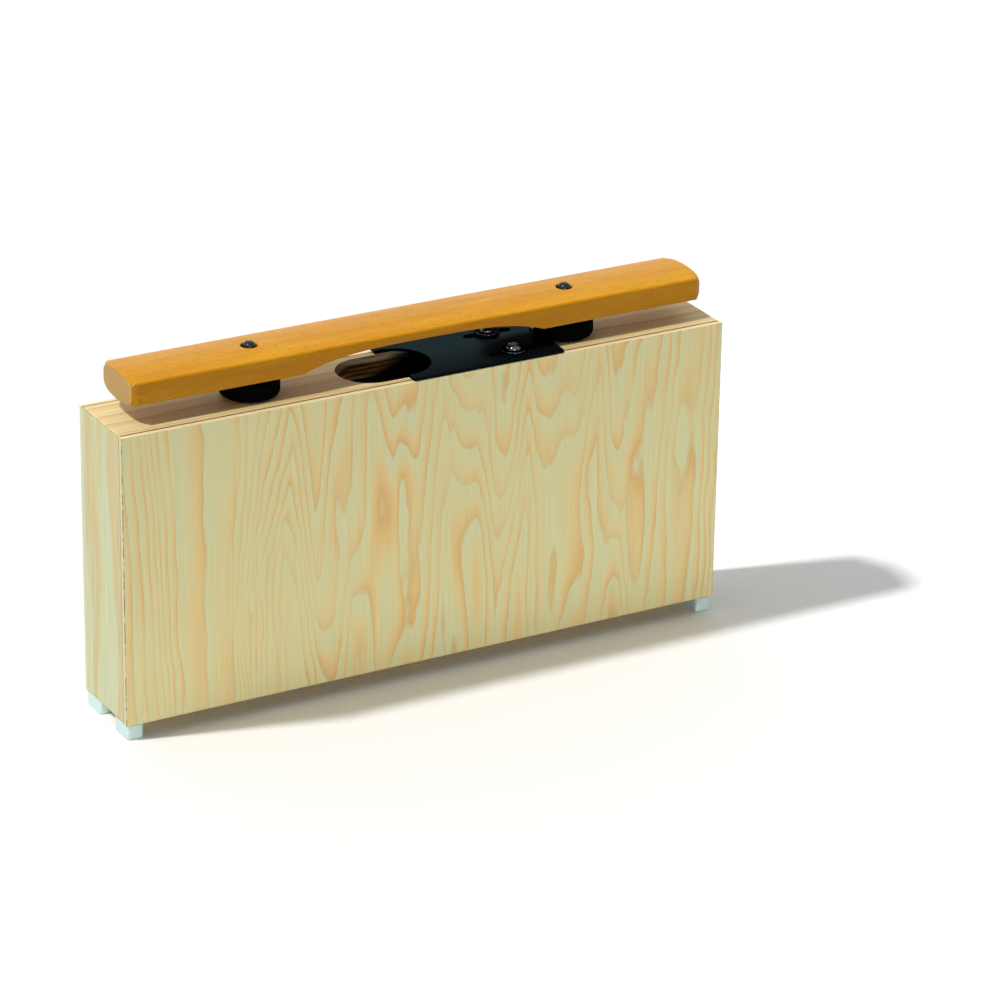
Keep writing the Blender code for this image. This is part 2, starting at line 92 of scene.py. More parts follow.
def add(tree, kind, links=None, stops=None, **settings):
    """Adds a node, or takes one that is there, and fills its sockets with values or links."""
    made = kind if isinstance(kind, bpy.types.Node) else tree.nodes.new("ShaderNode" + kind)
    if kind == "Mix":
        made.data_type = "RGBA"
    for name, value in settings.items():
        setattr(made, name, value)
    for socket, value in (links or {}).items():
        if isinstance(value, bpy.types.Node):
            # A node stands for its first output, and a Mix for its colour.
            value = value.outputs[2 if value.bl_idname == "ShaderNodeMix" else 0]
        if isinstance(value, bpy.types.NodeSocket):
            tree.links.new(value, made.inputs[socket])
        else:
            made.inputs[socket].default_value = value
    if stops and kind == "ValToRGB":
        ramp = made.color_ramp.elements
        ramp.remove(ramp[1])
        ramp[0].position, ramp[0].color = stops[0][0], srgb(stops[0][1])
        for place, code in stops[1:]:
            ramp.new(place).color = srgb(code)
    if stops and kind == "FloatCurve":
        curve = made.mapping.curves[0]
        curve.points[0].location, curve.points[1].location = stops[0], stops[-1]
        for point in stops[1:-1]:
            curve.points.new(*point)
        for point in curve.points:
            point.handle_type = "VECTOR"
        made.mapping.update()
    return made


def new_finish(name):
    material = bpy.data.materials.new(name)
    material.use_nodes = True
    return material, material.node_tree, material.node_tree.nodes["Principled BSDF"]


print("middle grey in linear light:", round(srgb("#808080")[0], 3))

# %% [markdown]
# ## Light and floor
# On the floor the shadow falls to the right and a little forward, while the box is lit from the
# left and a little from the front. One lamp can't do both, so light linking gives the floor a
# lamp of its own. Both lamps are suns four degrees wide, whose shadows soften with height. A
# weaker sun shines on the front, and a world that is bright behind and dark in front fills the
# shade. Area lamps would do too, but a sun lights a box of this size evenly from end to end.
# The camera and every mirror see the world as plain white, by Light Path.

# %% Lamps
KEY_TRAVEL, KEY_STRENGTH, KEY_WIDTH = Vector((137, 34, -210)), 2.12, 4.1
SHADOW_TRAVEL, SHADOW_STRENGTH = Vector((140, -34.5, -210)), 2.25
FILL_TRAVEL, FILL_STRENGTH, FILL_WIDTH = Vector((0.22, 1.0, -0.06)), 0.99, 8


def sun(name, travel, strength, width):
    """Sun that shines along a direction, as wide in the sky as an angle in degrees."""
    lamp = bpy.data.objects.new(name, bpy.data.lights.new(name, "SUN"))
    bpy.context.scene.collection.objects.link(lamp)
    lamp.rotation_mode = "QUATERNION"
    lamp.rotation_quaternion = travel.to_track_quat("-Z", "Y")
    lamp.data.energy, lamp.data.angle = strength, math.radians(width)
    return lamp


key_lamp = sun("key_lamp", KEY_TRAVEL, KEY_STRENGTH, KEY_WIDTH)
shadow_lamp = sun("shadow_lamp", SHADOW_TRAVEL, SHADOW_STRENGTH, KEY_WIDTH)
sun("fill_lamp", FILL_TRAVEL, FILL_STRENGTH, FILL_WIDTH)

# %% World
WORLD_FRONT, WORLD_BACK, WORLD_SPREAD = 0.0, 0.93, 0.8

world = bpy.data.worlds.new("studio")
bpy.context.scene.world = world
world.use_nodes = True
sky = world.node_tree
sky.nodes.clear()
path = add(sky, "LightPath")
seen = add(sky, "Math", {0: path.outputs["Is Camera Ray"], 1: path.outputs["Is Glossy Ray"]},
           operation="MAXIMUM")
seen = add(sky, "Math", {0: seen, 1: path.outputs["Is Transmission Ray"]}, operation="MAXIMUM")
toward = add(sky, "SeparateXYZ", {0: add(sky, "TexCoord").outputs["Generated"]})
soft = add(sky, "MapRange", {0: toward.outputs["Y"], 1: -WORLD_SPREAD, 2: WORLD_SPREAD,
                             3: WORLD_FRONT, 4: WORLD_BACK})
lit = add(sky, "Background", {"Color": srgb("#FFFFFF"), "Strength": soft})
white = add(sky, "Background", {"Color": srgb("#FFFFFF"), "Strength": 1.0})
add(sky, "OutputWorld", {"Surface": add(sky, "MixShader", {0: seen, 1: lit, 2: white})})
print("world strength, front and back:", WORLD_FRONT, WORLD_BACK)

# %% Floor
FLOOR_SIZE = 14.0

bpy.ops.object.select_all(action="DESELECT")
bpy.ops.mesh.primitive_plane_add(size=FLOOR_SIZE)
floor = bpy.context.object
floor.name = "floor"
# White paper: almost no gloss, so that only the shadow shows on it.
PAPER, tree, shader = new_finish("white_paper_floor")
add(tree, shader, {"Base Color": srgb("#FDFDFD"), "Roughness": 0.9})
floor.data.materials.append(PAPER)
for lamp, state in ((key_lamp, "EXCLUDE"), (shadow_lamp, "INCLUDE")):
    lit_by = bpy.data.collections.new(lamp.name + "_lights")
    lit_by.objects.link(floor)
    lamp.light_linking.receiver_collection = lit_by
    lit_by.collection_objects[0].light_linking.link_state = state
print("floor lit by", shadow_lamp.name, "and not by", key_lamp.name)

# %% [markdown]
# ## Tools of the bench
# Every piece below is made the way it would be made by hand: a primitive is set down at its
# size and place, then shaped in edit mode. An operator acts on all that is selected, so one
# helper picks vertices, edges or faces by where they are, and nothing else. Plain smooth shading
# would bend the light on flat faces beside a bevel, so weighted normals keep those even.

# %% Helpers that pick
EASED, SQUARE_ON = math.radians(35), 0.9


def middle(part):
    """Middle of a vertex, an edge or a face, in millimetres."""
    points = [part] if isinstance(part, bmesh.types.BMVert) else part.verts
    return sum((point.co for point in points), Vector()) / len(points) / MM


def pick(kind, test):
    """In edit mode, selects the vertices, edges or faces that pass a test."""
    bpy.ops.mesh.select_mode(type=kind)
    bpy.ops.mesh.select_all(action="DESELECT")
    mesh = bmesh.from_edit_mesh(bpy.context.object.data)
    for part in {"VERT": mesh.verts, "EDGE": mesh.edges, "FACE": mesh.faces}[kind]:
        if test(part):
            part.select_set(True)
    bmesh.update_edit_mesh(bpy.context.object.data)


def sharp(edge):
    return len(edge.link_faces) == 2 and edge.calc_face_angle() > EASED


def upright(edge):
    return abs(edge.verts[0].co.z - edge.verts[1].co.z) > MM


print("an edge is sharp above", round(math.degrees(EASED)), "degrees")

# %% Helpers that set a primitive down
def cleared_bench():
    """Out of edit mode, with nothing selected."""
    if bpy.context.mode != "OBJECT":
        bpy.ops.object.mode_set(mode="OBJECT")
    bpy.ops.object.select_all(action="DESELECT")


def opened(name):
    """The new primitive, named, with its place put into its mesh, in edit mode."""
    piece = bpy.context.object
    piece.name = piece.data.name = name
    bpy.ops.object.transform_apply(location=True, rotation=True, scale=True)
    bpy.ops.object.mode_set(mode="EDIT")
    return piece


def block(name, low, high):
    """Cube between two corners in millimetres, opened in edit mode."""
    cleared_bench()
    low, high = Vector(low) * MM, Vector(high) * MM
    bpy.ops.mesh.primitive_cube_add(size=1, location=(low + high) / 2, scale=high - low)
    return opened(name)


def round_rod(name, x, y, low, high, radius, sides):
    """Upright cylinder between two levels in millimetres, opened in edit mode."""
    cleared_bench()
    bpy.ops.mesh.primitive_cylinder_add(
        vertices=sides, radius=radius * MM, depth=(high - low) * MM,
        location=Vector((x, y, (low + high) / 2)) * MM)
    return opened(name)


# %% Helpers that cut and shape
def carve(piece, cutter):
    """Cuts one solid out of another; the cutter is used up."""
    cleared_bench()
    bpy.context.view_layer.objects.active = piece
    hollow = piece.modifiers.new("hollow", "BOOLEAN")
    hollow.solver, hollow.object = "EXACT", cutter
    bpy.ops.object.modifier_apply(modifier="hollow")
    bpy.data.objects.remove(cutter)
    piece.select_set(True)
    bpy.ops.object.mode_set(mode="EDIT")


def extrude(x, y, z):
    """Pulls the picked faces out by a shift in millimetres."""
    bpy.ops.mesh.extrude_region_move(
        TRANSFORM_OT_translate={"value": Vector((x, y, z)) * MM})


def ease(width, segments):
    """Rounds the picked edges to a width in millimetres."""
    bpy.ops.mesh.bevel(offset=width * MM, segments=segments, affect="EDGES")


print("a millimetre in Blender's units:", MM)

# %% Helpers that finish and copy
def complete(piece, material):
    """Outward normals, smooth shading over the rounded edges, and the finish."""
    bpy.ops.mesh.select_all(action="SELECT")
    bpy.ops.mesh.remove_doubles(threshold=0.001 * MM)
    bpy.ops.mesh.normals_make_consistent(inside=False)
    bpy.ops.object.mode_set(mode="OBJECT")
    bpy.ops.object.shade_smooth_by_angle(angle=EASED)
    even = piece.modifiers.new("even", "WEIGHTED_NORMAL")
    even.keep_sharp = True
    bpy.ops.object.modifier_apply(modifier="even")
    piece.data.materials.clear()
    piece.data.materials.append(material)
    print(piece.name, "faces:", len(piece.data.polygons))


def stand_for(piece, node, body):
    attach(piece, body)
    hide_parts(node)


def repeat(piece, name, shift):
    """Copy with its own mesh, moved in edit mode by a shift in millimetres."""
    cleared_bench()
    piece.select_set(True)
    bpy.context.view_layer.objects.active = piece
    bpy.ops.object.duplicate(linked=False)
    copy = bpy.context.object
    copy.name = copy.data.name = name
    bpy.ops.object.mode_set(mode="EDIT")
    bpy.ops.mesh.select_all(action="SELECT")
    bpy.ops.transform.translate(value=Vector(shift) * MM)
    bpy.ops.object.mode_set(mode="OBJECT")
    return copy


def stand_for_pair(piece, nodes, shift):
    """The piece for one node of the sound box, and a copy of it, moved, for another."""
    copy = repeat(piece, piece.name.replace(*nodes), shift)
    for made, node in zip((piece, copy), nodes):
        stand_for(made, node, "sound_box")


print("nodes to dress:", ", ".join(sorted(NODES)))

# %% [markdown]
# ## Where a finish is
# A pattern has to know where on the object it is. Generated coordinates stretch with each
# piece. Object coordinates are the part's own frame, because every piece sits at the origin, so
# they are turned into millimetres and sizes are used as they are on the real object. Two masks
# come back: the inside of the closed air chamber, painted almost black as painted shade, and a
# plain box.

# %% Finish helpers
# Painted shade: the faces inside the closed air chamber are painted almost black.
CHAMBER_HALF, CHAMBER_MIDDLE, CHAMBER_SHADE_COLOUR = (205.5, 27.9, 85.4), 110.2, "#2B2117"


def in_millimetres(tree):
    place = add(tree, "TexCoord").outputs["Object"]
    return add(tree, "Mapping", {"Vector": place, "Scale": (1 / MM,) * 3})


def spacing(*sizes):
    """Pattern scale along X, Y and Z from sizes in millimetres."""
    return tuple(1 / size for size in sizes)


def chamber_shade(tree, at):
    """One on the faces that look into the closed air chamber, nothing elsewhere."""
    reach = 0.0
    for axis, half, centre in zip("XYZ", CHAMBER_HALF, (0, 0, CHAMBER_MIDDLE)):
        off = add(tree, "Math", {0: at.outputs[axis], 1: centre}, operation="SUBTRACT")
        off = add(tree, "Math", {0: off}, operation="ABSOLUTE")
        off = add(tree, "Math", {0: off, 1: half}, operation="DIVIDE")
        reach = add(tree, "Math", {0: off, 1: reach}, operation="MAXIMUM")
    return add(tree, "Math", {0: reach, 1: 1.0}, operation="LESS_THAN")


def boxed(tree, at, low, high):
    """One inside a box between two corners in millimetres, nothing elsewhere."""
    inside = 1.0
    for axis, a, b in zip("XYZ", low, high):
        above = add(tree, "Math", {0: at.outputs[axis], 1: a}, operation="GREATER_THAN")
        below = add(tree, "Math", {0: at.outputs[axis], 1: b}, operation="LESS_THAN")
        here = add(tree, "Math", {0: above, 1: below}, operation="MULTIPLY")
        inside = add(tree, "Math", {0: here, 1: inside}, operation="MULTIPLY")
    return inside


print("chamber in mm:", [2 * half for half in CHAMBER_HALF])

# %% [markdown]
# ## Painted light and shade on the top board
# The wall of the sound hole shows raw grain, painted pale as painted light, with painted shade
# along its top rim, and is painted black as painted shade where it runs in under the slide.
# Painted shade also blackens the board under the slide's slots and along its rear edge, and a
# dark crescent of painted shade lies where the slide's hollow meets the right pad. Shade like
# this could be painted on by hand. Here each one is a mask on the place, mixed over the wood in
# turn, so that it stays on the board when the slide moves.

# %% Painted light and shade on the top board
HOLE_WALL = (-52, -23, 195), (42, 23, 209.9)
# Painted shade along the top rim of the hole's wall, between two heights.
RIM_SHADE_FROM, RIM_SHADE_TO, RIM_SHADE_MOST = 204.0, 208.5, 0.75
SHADE_SLOPE, SHADE_FROM, SHADE_TO = -2.2, -453.0, -440.0
# Painted shade: black boxes on the board under the slots and behind the hole's rear rim.
PAINTED_SHADE_BOXES = (((34, -22.5, 195), (86.5, -13.5, 211)), ((34, 13.5, 195), (86.5, 22.5, 211)),
          ((-13, 20, 210.1), (40, 27, 211)))
NODE_X, BOARD_TOP = 115.5, 210.2
# Painted shade: a dark crescent round the left side of the right pad.
CRESCENT_IN, CRESCENT_OUT, CRESCENT_LEFT, CRESCENT_RIGHT = 21.0, 24.0, 101.0, 105.0


def with_painted_shade(tree, point, at, wood):
    """The wood with its painted light and shade, and how black the painted shade is."""
    wall = boxed(tree, at, *HOLE_WALL)
    grain = add(tree, "TexNoise", {"Vector": add(tree, "Mapping", {
        "Vector": point, "Scale": spacing(60, 14, 2.4)}), "Scale": 1.0})
    # Painted light: the wall's raw grain is painted pale, to light the wall in the hole.
    raw = add(tree, "ValToRGB", {0: grain},
              stops=((0.4, "#80633F"), (0.5, "#E8CE9E"), (0.58, "#FFF4DC")))
    # Painted shade: the top of the wall is darkened.
    rim_shade = add(tree, "MapRange", {0: at.outputs["Z"], 1: RIM_SHADE_FROM, 2: RIM_SHADE_TO,
                                    3: 0.0, 4: RIM_SHADE_MOST})
    raw = add(tree, "Mix", {0: rim_shade, 6: raw, 7: srgb("#6A5236")})
    wood = add(tree, "Mix", {0: wall, 6: wood, 7: raw})
    # Painted shade in the hole starts further right the higher it is.
    slant = add(tree, "Math", {0: at.outputs["Z"], 1: SHADE_SLOPE, 2: at.outputs["X"]},
                operation="MULTIPLY_ADD")
    under = add(tree, "MapRange", {0: slant, 1: SHADE_FROM, 2: SHADE_TO})
    dark = add(tree, "Math", {0: wall, 1: under}, operation="MULTIPLY")
    # Painted shade under the slide's slots and behind the hole's rear rim.
    for low, high in PAINTED_SHADE_BOXES:
        painted_light = boxed(tree, at, low, high)
        dark = add(tree, "Math", {0: dark, 1: painted_light}, operation="MAXIMUM")
    # Painted shade: a dark crescent where the slide's hollow meets the right pad.
    ring = add(tree, "VectorMath", {0: point, 1: (NODE_X, 0.0, BOARD_TOP)}, operation="DISTANCE")
    ring = add(tree, "MapRange", {0: ring.outputs["Value"], 1: CRESCENT_IN, 2: CRESCENT_OUT,
                                  3: 1.0, 4: 0.0})
    left = add(tree, "MapRange", {0: at.outputs["X"], 1: CRESCENT_LEFT, 2: CRESCENT_RIGHT,
                                  3: 1.0, 4: 0.0})
    crescent = add(tree, "Math", {0: ring, 1: left}, operation="MULTIPLY")
    dark = add(tree, "Math", {0: dark, 1: crescent}, operation="MAXIMUM")
    return add(tree, "Mix", {0: dark, 6: wood, 7: srgb("#0C0805")}), dark


print("rubbed places on the top board:", len(PAINTED_SHADE_BOXES))

# %% [markdown]
# ## Solid pine
# The frame of the box is solid pine under a satin lacquer. A tree lays down one pale and one
# tan ring a year, so the wood is a set of nested tubes round the pith, and every cut face shows
# where it crosses them. Lines painted on each face could never meet at the edges. Here the
# colour comes from the distance to a pith line that runs along the grain, so that faces, edges
# and ends all agree. Slow noise along the grain lets the rings sway as they do in a stem. A
# brown line along both long edges of the top shows where it is glued to the panels.

# %% Pine
SWAY_SIZE = {"X": spacing(170, 16, 16), "Z": spacing(18, 18, 120)}
# Fibres are about 0.04 mm wide; they are drawn 1 mm wide, so that they show.
PINE_FIBRE = {"X": spacing(60, 1, 1), "Z": spacing(1, 1, 60)}
GLUE_LINE = 26.7


def pine(name, along, wide, deep, pith, ring, sway_by, stops):
    """Pine with its grain along one axis and its pith at a place across the other two."""
    material, tree, shader = new_finish(name)
    point = in_millimetres(tree)
    at = add(tree, "SeparateXYZ", {0: point})
    sway = add(tree, "TexNoise", {"Vector": add(tree, "Mapping", {
        "Vector": point, "Scale": SWAY_SIZE[along]}), "Scale": 1.0, "Detail": 1.5})
    across = add(tree, "Math", {0: at.outputs[wide], 1: pith[0]}, operation="SUBTRACT")
    across = add(tree, "Math", {0: across, 1: across}, operation="MULTIPLY")
    down = add(tree, "Math", {0: at.outputs[deep], 1: pith[1]}, operation="SUBTRACT")
    down = add(tree, "Math", {0: down, 1: down, 2: across}, operation="MULTIPLY_ADD")
    radius = add(tree, "Math", {0: down, 1: 0.5}, operation="POWER")
    radius = add(tree, "Math", {0: sway, 1: sway_by, 2: radius}, operation="MULTIPLY_ADD")
    year = add(tree, "Math", {0: radius, 1: ring}, operation="DIVIDE")
    rings = add(tree, "ValToRGB", {0: add(tree, "Math", {0: year}, operation="FRACT")}, stops=stops)
    fibre = add(tree, "TexNoise", {"Vector": add(tree, "Mapping", {
        "Vector": point, "Scale": PINE_FIBRE[along]}), "Scale": 1.0})
    streak = add(tree, "ValToRGB", {0: fibre}, stops=((0.3, "#D8CDBB"), (0.62, "#FFFFFF")))
    wood = add(tree, "Mix", {0: 0.5, 6: rings, 7: streak}, blend_type="MULTIPLY")
    # Painted shade inside the closed air chamber.
    wood = add(tree, "Mix", {0: chamber_shade(tree, at), 6: wood, 7: srgb(CHAMBER_SHADE_COLOUR)})
    rough = add(tree, "MapRange", {0: fibre, 3: 0.42, 4: 0.58})
    if along == "X":
        # The top board gets its painted light and shade, then its glue line.
        wood, dark = with_painted_shade(tree, point, at, wood)
        rough = add(tree, "Math", {0: rough, 1: dark}, operation="MAXIMUM")
        joint = add(tree, "Math", {0: at.outputs["Y"]}, operation="ABSOLUTE")
        joint = add(tree, "Math", {0: joint, 1: GLUE_LINE}, operation="GREATER_THAN")
        wood = add(tree, "Mix", {0: joint, 6: wood, 7: srgb("#9A6C32")})
    bump = add(tree, "Bump", {"Height": fibre, "Strength": 0.12, "Distance": 0.1 * MM})
    add(tree, shader, {"Base Color": wood, "Roughness": rough, "Normal": bump,
                       "Specular IOR Level": 0.15})
    return material


print("grain along:", ", ".join(SWAY_SIZE))

# %% Pine boards
# Lacquered pine: warm and pale, faintly streaked, with a soft gleam and no mirror. The top has
# narrow golden rings, and the ends wide greenish ones.
TOP_RINGS = ((0.0, "#F6E4AE"), (0.5, "#F4E0A8"), (0.8, "#ECD296"), (0.94, "#E3C584"),
             (0.99, "#F6E4AE"))
END_RINGS = ((0.0, "#C3CAA5"), (0.3, "#C5C9A1"), (0.6, "#C8BD8F"), (0.8, "#C9B788"),
             (0.99, "#C3CAA5"))
TOP_PINE = pine("lacquered_pine_lengthwise", "X", "Y", "Z", pith=(-70, 118), ring=8.5,
                sway_by=12.0, stops=TOP_RINGS)
END_PINE = pine("lacquered_pine_upright", "Z", "Y", "X", pith=(-46, -150), ring=24.0,
                sway_by=40.0, stops=END_RINGS)
for node, finish in (("top_board", TOP_PINE), ("bottom_board", TOP_PINE),
                     ("left_end_board", END_PINE), ("right_end_board", END_PINE)):
    NODES[node].material_slots[0].material = finish
print("pine:", TOP_PINE.name, END_PINE.name)

# %% [markdown]
# ## Pine plywood
# The front and back are thin plywood with a peeled pine veneer. A knife peels such a veneer round
# the log, so its rings open into broad tongues and valleys, pale where the year began and tan
# where it ended. Wave textures give stripes that are all alike. So three curves along the panel
# say how many rings have been crossed so far, how high the tongues reach, and how strongly they
# swing, and noise lets all of it wander. Each whole number of the sum starts a new ring.

# %% Veneer curves
RING_COUNT = ((-225, 0.0), (-216.8, 1.0), (-210.6, 2.0), (-205.1, 3.0), (-200.8, 4.0),
              (-197.3, 5.0), (-192.2, 6.0), (-185.6, 7.0), (-170, 7.4), (-161, 8.0),
              (-144, 8.4), (-138, 9.0), (-120, 11.6), (-60, 12.5), (0, 14.0), (10, 14.6),
              (16, 15.6), (100, 17.0), (165, 18.5), (190, 21.5), (205, 22.3), (212, 23.2),
              (225, 25.0))
SWINGS = ((-225, 0.1), (-142, 0.1), (-118, 0.8), (-100, 1.0), (150, 1.0), (172, 0.4), (225, 0.3))
TONGUES = ((-225, 60), (-130, 60), (-117, 45), (-102, 140), (-83, 44), (-56, 131), (-24, 26),
           (-6, 106), (8, 86), (14, 26), (36, -4), (49, -84), (71, 8), (80, -32), (90, -8),
           (112, -92), (123, -20), (134, -70), (146, -16), (158.6, -85), (170, -60), (225, -60))
TONGUE_LOW, TONGUE_SPAN, TONGUE_RING = -100.0, 250.0, 60.0
RINGS, FLAME_RINGS = 25.0, 7.0
PANEL_LEFT, PANEL_SPAN, PANEL_FOOT, PANEL_HEIGHT = -225.0, 450.0, 10.2, 200.0


def along_panel(points, low, span):
    """Points of a curve, with both axes brought to the range from nothing to one."""
    return [((x - PANEL_LEFT) / PANEL_SPAN, (value - low) / span) for x, value in points]


print("rings along the panel:", RINGS)

# %% Veneer rings
WANDER_SLOW, WANDER_QUICK, WANDER_MIDDLE = 20.0, 14.0, -17.0
CALM_LEFT, CALM_RIGHT, CALM_LEAST = -195.0, -150.0, 0.35
LEAN_LEFT, LEAN_RIGHT, LEAN_FOOT, LEAN_TOP = -190.0, -130.0, -11.0, 2.0

# Lacquered pine plywood: broad soft figure in green-cream and tan, with a satin gleam.
PLYWOOD, tree, shader = new_finish("lacquered_pine_plywood")
point = in_millimetres(tree)
at = add(tree, "SeparateXYZ", {0: point})
slow = add(tree, "TexNoise", {"Vector": add(tree, "Mapping", {
    "Vector": point, "Location": (3.1, 0.7, 1.9), "Scale": spacing(55, 55, 160)}),
    "Scale": 1.0, "Detail": 1.0})
quick = add(tree, "TexNoise", {"Vector": add(tree, "Mapping", {
    "Vector": point, "Scale": spacing(16, 16, 55)}), "Scale": 1.0})
wander = add(tree, "Math", {0: slow, 1: WANDER_SLOW, 2: WANDER_MIDDLE}, operation="MULTIPLY_ADD")
wander = add(tree, "Math", {0: quick, 1: WANDER_QUICK, 2: wander}, operation="MULTIPLY_ADD")
# Towards the left edge the rings are close and calm, and lean to the right on their way down.
calm = add(tree, "MapRange", {0: at.outputs["X"], 1: CALM_LEFT, 2: CALM_RIGHT,
                              3: CALM_LEAST, 4: 1.0})
across = add(tree, "Math", {0: wander, 1: calm, 2: at.outputs["X"]}, operation="MULTIPLY_ADD")
lean = add(tree, "MapRange", {0: at.outputs["Z"], 1: PANEL_FOOT, 2: PANEL_FOOT + PANEL_HEIGHT,
                              3: LEAN_FOOT, 4: LEAN_TOP})
near = add(tree, "MapRange", {0: at.outputs["X"], 1: LEAN_LEFT, 2: LEAN_RIGHT, 3: 1.0, 4: 0.0})
across = add(tree, "Math", {0: lean, 1: near, 2: across}, operation="MULTIPLY_ADD")
across = add(tree, "MapRange", {0: across, 1: PANEL_LEFT, 2: PANEL_LEFT + PANEL_SPAN})
count = add(tree, "FloatCurve", {"Value": across}, stops=along_panel(RING_COUNT, 0, RINGS))
swing = add(tree, "FloatCurve", {"Value": across}, stops=along_panel(SWINGS, 0, 1))
tongue = add(tree, "FloatCurve", {"Value": across},
             stops=along_panel(TONGUES, TONGUE_LOW, TONGUE_SPAN))
tongue = add(tree, "Math", {0: tongue, 1: TONGUE_SPAN, 2: TONGUE_LOW + PANEL_FOOT},
             operation="MULTIPLY_ADD")
tongue = add(tree, "Math", {0: tongue, 1: at.outputs["Z"]}, operation="SUBTRACT")
tongue = add(tree, "Math", {0: tongue, 1: TONGUE_RING}, operation="DIVIDE")
flame = add(tree, "TexNoise", {"Vector": add(tree, "Mapping", {
    "Vector": point, "Scale": spacing(26, 26, 170)}), "Scale": 1.0, "Detail": 0.0})
flame = add(tree, "Math", {0: flame, 1: FLAME_RINGS, 2: tongue}, operation="MULTIPLY_ADD")
year = add(tree, "Math", {0: count, 1: RINGS}, operation="MULTIPLY")
year = add(tree, "Math", {0: flame, 1: swing, 2: year}, operation="MULTIPLY_ADD")
year = add(tree, "Math", {0: year}, operation="FRACT")
print("veneer nodes:", len(tree.nodes))

# %% Veneer colour
TOP_SHADE_FROM, TOP_SHADE_TO = 50.0, 205.0

rings = add(tree, "ValToRGB", {0: year}, stops=(
    (0.0, "#D0D0A0"), (0.25, "#D2CD99"), (0.5, "#DAC88C"), (0.75, "#DEBC7A"), (0.9, "#D4AE6C"),
    (1.0, "#D0D0A0")))
fade = add(tree, "TexNoise", {"Vector": add(tree, "Mapping", {
    "Vector": point, "Location": (0.3, 5.1, 2.2), "Scale": spacing(35, 35, 70)}),
    "Scale": 1.0, "Detail": 1.0})
fade = add(tree, "MapRange", {0: fade, 1: 0.38, 2: 0.62, 3: 0.4, 4: 1.0})
veneer = add(tree, "Mix", {0: fade, 6: srgb("#D4CD97"), 7: rings})
# Fibres are about 0.04 mm wide; they are drawn 0.9 mm wide, so that they show.
fibre = add(tree, "TexNoise", {"Vector": add(tree, "Mapping", {
    "Vector": point, "Scale": spacing(0.9, 0.9, 70)}), "Scale": 1.0})
streak = add(tree, "ValToRGB", {0: fibre}, stops=((0.3, "#D9D0C0"), (0.6, "#FFFFFF")))
veneer = add(tree, "Mix", {0: 0.22, 6: veneer, 7: streak}, blend_type="MULTIPLY")
# Painted shade: the veneer is a little darker towards the top.
top_shade = add(tree, "MapRange", {0: at.outputs["Z"], 1: TOP_SHADE_FROM, 2: TOP_SHADE_TO})
veneer = add(tree, "Mix", {0: top_shade, 6: veneer, 7: srgb("#F1F1F0")}, blend_type="MULTIPLY")
print("veneer darkens from", TOP_SHADE_FROM, "to", TOP_SHADE_TO, "mm")

# %% [markdown]
# ### Cut edges of the plywood
# On its cut edges plywood shows its plies: pale, brown and pale. Strips could be modelled, but
# they are flush with each other, so the depth below the face picks their colours, wherever the
# surface faces neither front nor back. The brown ply shows on the top and bottom edges only, and
# those edges are painted paler than the upright ones as painted light. On the upright corners
# the veneer's glue is a broken dark line, less than a millimetre wide.

# %% Plywood panels
PLY_MIDDLE, PLY_HALF, EDGE_FACING = 27.8, 0.5, 0.6
CORNER_FROM, GLUE_FROM = 219.5, 30.7

normal = add(tree, "SeparateXYZ", {0: add(tree, "TexCoord").outputs["Normal"]})
sideways = add(tree, "Math", {0: normal.outputs["Y"]}, operation="ABSOLUTE")
edge = add(tree, "Math", {0: sideways, 1: EDGE_FACING}, operation="LESS_THAN")
upward = add(tree, "Math", {0: normal.outputs["Z"]}, operation="ABSOLUTE")
deep = add(tree, "Math", {0: at.outputs["Y"]}, operation="ABSOLUTE")
core = add(tree, "Math", {0: deep, 1: PLY_MIDDLE, 2: PLY_HALF}, operation="COMPARE")
core = add(tree, "Math", {0: core, 1: upward}, operation="MULTIPLY")
broken = add(tree, "TexNoise", {"Vector": add(tree, "Mapping", {
    "Vector": point, "Scale": spacing(14, math.inf, 5)}), "Scale": 1.0, "Detail": 1.0})
wear_and_glint = add(tree, "MapRange", {0: broken, 1: 0.35, 2: 0.6, 3: 0.45, 4: 1.0})
core = add(tree, "Math", {0: core, 1: wear_and_glint}, operation="MULTIPLY")
# Painted light: the edges that face up or down are paler than the upright ones.
plies = add(tree, "Mix", {0: upward, 6: srgb("#C6C69F"), 7: srgb("#F8E6B4")})
plies = add(tree, "Mix", {0: core, 6: plies, 7: srgb("#8E6128")})
board = add(tree, "Mix", {0: edge, 6: veneer, 7: plies})
length = add(tree, "Math", {0: at.outputs["X"]}, operation="ABSOLUTE")
corner = add(tree, "Math", {0: length, 1: CORNER_FROM}, operation="GREATER_THAN")
rim = add(tree, "Math", {0: deep, 1: GLUE_FROM}, operation="GREATER_THAN")
glue = add(tree, "Math", {0: corner, 1: rim}, operation="MULTIPLY")
wear_and_glint = add(tree, "MapRange", {0: broken, 1: 0.35, 2: 0.6, 3: 0.2, 4: 1.0})
glue = add(tree, "Math", {0: glue, 1: wear_and_glint}, operation="MULTIPLY")
board = add(tree, "Mix", {0: glue, 6: board, 7: srgb("#80704A")})
# Painted shade inside the closed air chamber.
board = add(tree, "Mix", {0: chamber_shade(tree, at), 6: board, 7: srgb(CHAMBER_SHADE_COLOUR)})
rough = add(tree, "MapRange", {0: fibre, 3: 0.42, 4: 0.58})
bump = add(tree, "Bump", {"Height": fibre, "Strength": 0.08, "Distance": 0.1 * MM})
add(tree, shader, {"Base Color": board, "Roughness": rough, "Normal": bump})
for node in ("front_panel", "back_panel"):
    NODES[node].material_slots[0].material = PLYWOOD
print("plywood:", PLYWOOD.name)

